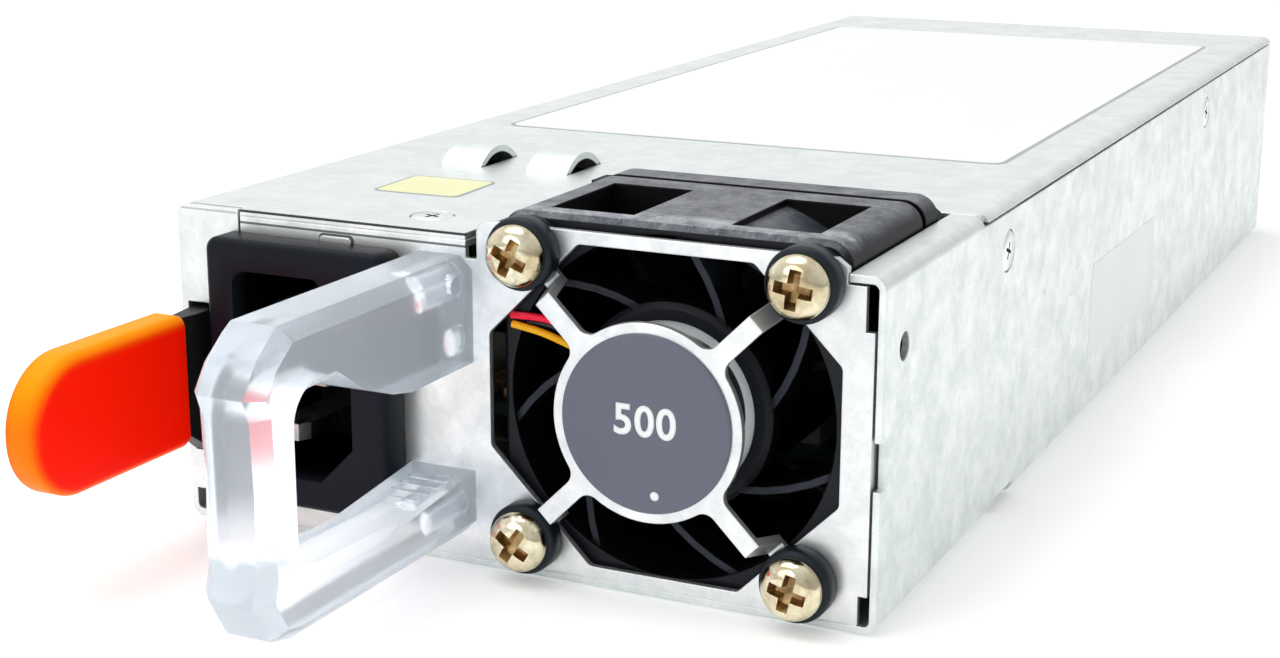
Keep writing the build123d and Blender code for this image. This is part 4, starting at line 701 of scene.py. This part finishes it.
def cross_cutter(reach, depth, width, tip):
    """A cross that cuts a driver recess as deep as its depth behind the origin. Its arms reach out from the
    Y axis and are narrowed at their +Y end."""
    shape = bmesh.new()
    for degrees in (0, 90):
        size = Matrix.Diagonal((2 * reach, 2 * depth, width, 1))
        made = bmesh.ops.create_cube(shape, size=1.0, matrix=turn_about("Y", degrees) @ size)
        for vert in made["verts"]:
            if vert.co.y > 0:
                vert.co.x *= tip
                vert.co.z *= tip
    return shape


def cut_with(body, cutter):
    """Cut one object out of another and delete the cutter."""
    step = body.modifiers.new("recess", "BOOLEAN")
    step.operation = "DIFFERENCE"
    step.solver = "EXACT"
    step.use_self = True
    step.object = cutter
    finished = finished_mesh(body)
    body.modifiers.remove(step)
    body.data = finished
    bpy.data.objects.remove(cutter)


def recessed_screw(name, profile, place, degrees, recess, finishes):
    """A turned screw with a cross recess, which is given by its reach, its depth, the width of its arms and
    how far they narrow. Faces inside the recess take the second finish."""
    screw = piece_from(name, turned_shape(profile), finishes)
    crown = min(depth for radius, depth in profile)
    cutter_shape = cross_cutter(*recess)
    bmesh.ops.translate(cutter_shape, verts=cutter_shape.verts, vec=(0, crown, 0))
    for face in cutter_shape.faces:
        face.material_index = 1
    cutter_mesh = bpy.data.meshes.new("cutter")
    cutter_shape.to_mesh(cutter_mesh)
    cutter_shape.free()
    for each in finishes:
        cutter_mesh.materials.append(each)
    cut_with(screw, new_object("cutter", cutter_mesh))
    screw.data.transform(place @ turn_about("Y", degrees))
    return screw


def corner_places():
    """The four fixing holes of the fan, each with the words for its corner."""
    for across, side in ((-1, "left"), (1, "right")):
        for up, height in ((-1, "lower"), (1, "upper")):
            yield height + "_" + side, (fan_x + across * hole_reach, 0, fan_z + up * hole_reach)


def fan_screws():
    """Four pan headed screws through the guard's corners, turned as in the photograph."""
    front, end = screw_low.y, screw_high.y
    seat = grommet_low.y
    head, shank = 3.4 * mm, 1.5 * mm
    profile = [(0, front), (1.5 * mm, front + 0.05 * mm), (2.4 * mm, front + 0.28 * mm),
               (3.0 * mm, front + 0.72 * mm), (3.3 * mm, front + 1.25 * mm), (head, front + 1.6 * mm),
               (head, seat - 0.12 * mm), (head - 0.12 * mm, seat), (shank, seat),
               (shank, end - 0.4 * mm), (shank - 0.3 * mm, end), (0, end)]
    recess = (2.95 * mm, 1.25 * mm, 1.7 * mm, 0.5)
    turns = {"upper_left": 24, "upper_right": 8, "lower_left": 33, "lower_right": 14}
    middles = dict(corner_places())
    for corner, degrees in turns.items():
        place = Matrix.Translation(middles[corner])
        screw = recessed_screw("fan_screw_" + corner, profile, place, degrees, recess,
                               [nickel, recess_nickel])
        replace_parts(screw, "fan_screws")


def fan_grommets():
    """Four rubber isolators with rounded rims, gripping the panel."""
    front, end = grommet_low.y, grommet_high.y
    panel = case_front
    panel_back = panel + 0.8 * mm
    outer, inner, neck, rear = 4.0 * mm, 1.6 * mm, 2.5 * mm, 3.6 * mm
    profile = [(inner, front), (outer - 0.5 * mm, front), (outer - 0.15 * mm, front + 0.15 * mm),
               (outer, front + 0.5 * mm), (outer, panel - 0.3 * mm), (outer - 0.3 * mm, panel),
               (neck, panel), (neck, panel_back), (rear, panel_back), (rear, end), (inner, end)]
    for corner, middle in corner_places():
        shape = turned_shape(profile)
        bmesh.ops.translate(shape, verts=shape.verts, vec=middle)
        made = piece_from("fan_grommet_" + corner, shape, [rubber], smooth=60.0)
        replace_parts(made, "fan_grommets")


def cover_screws():
    """Flush screws of the cover: one in the roof and two in each wall."""
    head, shank = 2.5 * mm, 1.5 * mm
    head_depth, length = 0.8 * mm, 3.6 * mm
    profile = [(0, 0), (head - 0.25 * mm, 0), (head, 0.2 * mm), (head, head_depth), (shank, head_depth),
               (shank, length), (0, length)]
    recess = (1.3 * mm, 0.6 * mm, 0.5 * mm, 0.6)
    wall_z = cover_screw_foot + head
    roof_place = Matrix.Translation((case_left + 30.4 * mm, case_front + 6.5 * mm, case_top))
    places = {"roof": roof_place @ turn_about("X", -90)}
    for label, y in (("front", case_front + 44 * mm), ("rear", case_rear - 62 * mm)):
        for side, x, degrees in (("right_", case_right, 90), ("left_", case_left, -90)):
            places[side + label] = Matrix.Translation((x, y, wall_z)) @ turn_about("Z", degrees)
    for label, place in places.items():
        # The recess faces take painted shadow
        screw = recessed_screw("cover_screw_" + label, profile, place, 20, recess,
                               [bright_zinc, seam_shadow])
        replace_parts(screw, "cover_screws")


def badge():
    """Printed disc on the guard's hub, with a plain number and a dot."""
    front, back = badge_low.y, badge_high.y
    outer = (badge_high.x - badge_low.x) / 2
    profile = [(0, front), (outer - 0.25 * mm, front), (outer - 0.08 * mm, front + 0.06 * mm),
               (outer, front + 0.2 * mm), (outer, back), (0, back)]
    shape = turned_shape(profile, 96)
    bmesh.ops.translate(shape, verts=shape.verts, vec=(fan_x, 0, fan_z))
    disc = piece_from("badge_disc", shape, [badge_print])
    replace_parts(disc, "guard_badge")
    dot_radius, dot_depth = 0.5 * mm, 0.04 * mm
    dot_place = Matrix.Translation((fan_x + 1.2 * mm, front, fan_z - 7.6 * mm))
    dot = bmesh.new()
    bmesh.ops.create_cone(dot, cap_ends=True, segments=32, radius1=dot_radius, radius2=dot_radius,
                          depth=dot_depth, matrix=dot_place @ turn_about("X", 90))
    piece_from("badge_dot", dot, [number_print])
    flat_text("badge_number", "500", 4.6 * mm, Vector((fan_x, front, fan_z + 0.2 * mm)))


def flat_text(name, words, size, middle):
    """A plain number printed on a face that looks towards -Y."""
    curve = bpy.data.curves.new(name, "FONT")
    curve.body = words
    curve.size = size
    curve.align_x = "CENTER"
    curve.align_y = "CENTER"
    curve.offset = 0.12 * mm
    curve.extrude = 0.02 * mm
    curve.space_character = 1.08
    mesh = mesh_of_curve("drawn number", curve)
    mesh.transform(Matrix.Translation(middle) @ turn_about("X", 90))
    return piece_of_mesh(name, mesh, [number_print])


def thin_plate(name, corners, radius, low, high, finish):
    """A thin sheet with rounded corners lying between two heights."""
    shape = bmesh.new()
    face = shape.faces.new([shape.verts.new((x, y, low)) for x, y in corners])
    bmesh.ops.bevel(shape, geom=face.verts[:], offset=radius, offset_type="OFFSET", affect="VERTICES",
                    segments=6, profile=0.5, material=-1)
    raised = bmesh.ops.extrude_face_region(shape, geom=shape.faces[:])
    tops = [item for item in raised["geom"] if isinstance(item, bmesh.types.BMVert)]
    bmesh.ops.translate(shape, verts=tops, vec=(0, 0, high - low))
    return piece_from(name, shape, [finish])


def turned_corners(middle, width, length, degrees=0.0):
    """Corners of a flat rectangle, turned about its middle."""
    turn = Matrix.Rotation(math.radians(degrees), 2)
    halves = ((-1, -1), (1, -1), (1, 1), (-1, 1))
    return [tuple(Vector(middle) + turn @ Vector((i * width / 2, j * length / 2))) for i, j in halves]


def roof_labels():
    """A large blank label with a grey painted shadow line round its edge, and a small blank yellow label
    near the front.
    """
    middle = (case_left + 42.5 * mm, case_front + 135.2 * mm)
    width, length, line, degrees = 71.2 * mm, 137.2 * mm, 0.6 * mm, 0.3
    corners = turned_corners(middle, width + 2 * line, length + 2 * line, degrees)
    thin_plate("label_edge_shadow_line", corners, 2.2 * mm, case_top - 0.02 * mm, case_top + 0.02 * mm,
               label_edge_shadow)
    corners = turned_corners(middle, width, length, degrees)
    thin_plate("cover_label", corners, 1.8 * mm, case_top - 0.01 * mm, case_top + 0.07 * mm, label_paper)

    middle = (case_left + 21.6 * mm, case_front + 21.8 * mm)
    width, length, line, degrees = 10.8 * mm, 10.0 * mm, 0.4 * mm, 2.0
    corners = turned_corners(middle, width + 2 * line, length + 2 * line, degrees)
    thin_plate("small_label_border", corners, 1.2 * mm, case_top - 0.01 * mm, case_top + 0.03 * mm,
               grey_print)
    corners = turned_corners(middle, width, length, degrees)
    thin_plate("small_label", corners, 0.9 * mm, case_top, case_top + 0.05 * mm, yellow_paper)


def wall_label():
    """A blank pale label on the right wall."""
    place = Matrix.Translation((case_right, -5.5 * mm, 14.4 * mm)) @ turn_about("Z", 90)
    corners = turned_corners((0, 0), 39.5 * mm, 13.6 * mm, -0.6)
    plate = thin_plate("wall_label", corners, 1.0 * mm, -0.01 * mm, 0.04 * mm, faded_label)
    plate.data.transform(place @ turn_about("X", 90))


def panel_lance():
    """A small pressed tongue on the panel, just above the inlet, in a dark gap of painted shadow."""
    place = Matrix.Translation((case_left + 21.8 * mm, case_front, case_top - 2.65 * mm))
    gap_corners = turned_corners((0, 0), 4.6 * mm, 1.9 * mm)
    # Painted shadow in the gap round the tongue
    shadow_plate = thin_plate("lance_gap_shadow", gap_corners, 0.6 * mm, -0.01 * mm, 0.03 * mm, seam_shadow)
    tongue_corners = turned_corners((0, 0), 4.1 * mm, 1.4 * mm)
    tongue = thin_plate("lance_tongue", tongue_corners, 0.45 * mm, 0.0, 0.3 * mm, panel_sheet)
    for made in (shadow_plate, tongue):
        made.data.transform(place @ turn_about("X", 90))


def fan_wires():
    """Three thin insulated wires from the motor's board to the fan's side."""
    front = wire_front + 0.45 * mm
    # Each point is its X, its Z and how far it lies behind the front line, in millimetres
    runs = {
        "red": (red_wire, ((12.4, 26.6, 0.5), (9.4, 27.6, 0.2), (7.0, 28.6, 0), (4.0, 29.4, 0),
                           (0.2, 29.2, 0))),
        "yellow": (yellow_wire, ((11.8, 25.0, 0.5), (8.9, 26.0, 0.2), (6.5, 26.9, 0), (3.5, 27.8, 0),
                                 (0.3, 28.2, 0))),
        "black": (black_wire, ((12.0, 25.8, 1.0), (9.2, 26.8, 1.0), (6.8, 27.8, 0.9), (3.6, 28.5, 0.8),
                               (1.8, 28.4, 0.8))),
    }
    for label, (finish, points) in runs.items():
        curve = bpy.data.curves.new("wire run", "CURVE")
        curve.dimensions = "3D"
        curve.bevel_depth = 0.42 * mm
        curve.bevel_resolution = 4
        curve.use_fill_caps = True
        spline = curve.splines.new("NURBS")
        spline.points.add(len(points) - 1)
        for point, (x, z, deeper) in zip(spline.points, points):
            point.co = (x * mm, front + deeper * mm, z * mm, 1)
        spline.order_u = 3
        spline.use_endpoint_u = True
        made = piece_of_mesh("fan_wire_" + label, mesh_of_curve("wire run", curve), [finish])
        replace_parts(made, "fan_wires")


def handle_corner(edge):
    """Whether an edge runs across the handle's outer outline, away from the panel."""
    margin = 3.0 * mm
    ends = [vert.co for vert in edge.verts]
    run = (ends[1] - ends[0]).normalized()
    outside = all(end.y < handle_low.y + 2 * margin or end.z < handle_low.z + margin
                  or end.z > handle_high.z - 2 * margin for end in ends)
    return abs(run.x) > 0.3 and outside and all(end.y < case_front - 1.0 * mm for end in ends)


def moulded_pieces():
    """The moulded pieces with their edges rounded."""
    handle = softened("pull_handle", "handle", 0.85 * mm, 5, frosted, corner=(2.6 * mm, handle_corner),
                      sharp_from=16.0)
    tab = softened("release_tab", "latch_tab", 0.45 * mm, 3, orange, "latch")
    lever = softened("release_lever", "latch_lever", 0.15 * mm, 2, lever_plastic, "latch")
    inlet = softened("inlet_body", "inlet_housing", 0.18 * mm, 2, inlet_plastic)


def studio_floor():
    """A pale floor that keeps the object's shadow."""
    made = new_finish("studio floor", Roughness=0.9, Base_Color=(0.96, 0.96, 0.96, 1),
                      Emission_Color=(1, 1, 1, 1), Emission_Strength=0.27)[0]
    shape = bmesh.new()
    bmesh.ops.create_grid(shape, x_segments=1, y_segments=1, size=4.0,
                          matrix=Matrix.Translation((0, 0, -0.2 * mm)))
    mesh = bpy.data.meshes.new("studio_floor")
    shape.to_mesh(mesh)
    shape.free()
    mesh.materials.append(made)
    new_object("studio_floor", mesh)


def soft_lamp(name, place, size, energy):
    """A large soft lamp turned towards the object. Its size is in metres and its energy in watts."""
    lamp = bpy.data.lights.new(name, "AREA")
    lamp.shape = "DISK"
    lamp.size = size
    lamp.energy = energy
    aim = Vector((0, 0, 20 * mm))
    made = new_object(name, lamp)
    made.location = place
    made.rotation_euler = (aim - Vector(place)).to_track_quat("-Z", "Y").to_euler()


def studio_light():
    """Plain soft light from above and the left, in a pale room. What the object mirrors of the room is
    darker to the right, in front and low down, and what it lets through isn't darker low down."""
    world = bpy.data.worlds.new("pale room")
    bpy.context.scene.world = world
    world.use_nodes = True
    tree = world.node_tree
    tree.nodes.clear()
    towards = parts_of(tree, node(tree, "ShaderNodeTexCoord").outputs["Generated"])
    seen = node(tree, "ShaderNodeLightPath").outputs
    right = ramp(tree, towards["X"], -0.2, 1.0, 1.0, 0.62)
    front = ramp(tree, towards["Y"], -0.6, 0.3, 0.80, 1.0)
    low = ramp(tree, towards["Z"], 0.06, 0.18, 0.72, 1.0)
    low = calc(tree, "MAXIMUM", low, seen["Is Transmission Ray"])
    strength = times(tree, times(tree, right, front), low)
    shown = calc(tree, "MAXIMUM", seen["Is Glossy Ray"], seen["Is Transmission Ray"])
    white = (1, 1, 1, 1)
    room, mirrored, backdrop = [
        node(tree, "ShaderNodeBackground", None, {"Color": white, "Strength": each}).outputs["Background"]
        for each in (0.55, strength, 1.0)]
    mixed = node(tree, "ShaderNodeMixShader", None, {0: shown, 1: room, 2: mirrored}).outputs["Shader"]
    mixed = node(tree, "ShaderNodeMixShader", None, {0: seen["Is Camera Ray"], 1: mixed, 2: backdrop})
    node(tree, "ShaderNodeOutputWorld", None, {"Surface": mixed.outputs["Shader"]})
    soft_lamp("overhead_lamp", (-0.35, -0.15, 1.25), 1.1, 8.6)
    soft_lamp("front_lamp", (-0.40, -1.15, 0.55), 0.8, 2.8)


def photo_camera():
    """The photograph's camera."""
    data = bpy.data.cameras.new("photo_camera")
    data.lens = camera_lens
    data.sensor_width = sensor_width
    data.clip_start = 10 * mm
    camera = new_object("photo_camera", data)
    camera.location = camera_place
    camera.rotation_euler = [math.radians(angle) for angle in camera_turn]
    bpy.context.scene.camera = camera


moulded_pieces()
fan_screws()
fan_grommets()
cover_screws()
badge()
roof_labels()
wall_label()
panel_lance()
fan_wires()
studio_floor()
studio_light()
photo_camera()
bpy.context.scene.view_settings.view_transform = "Standard"
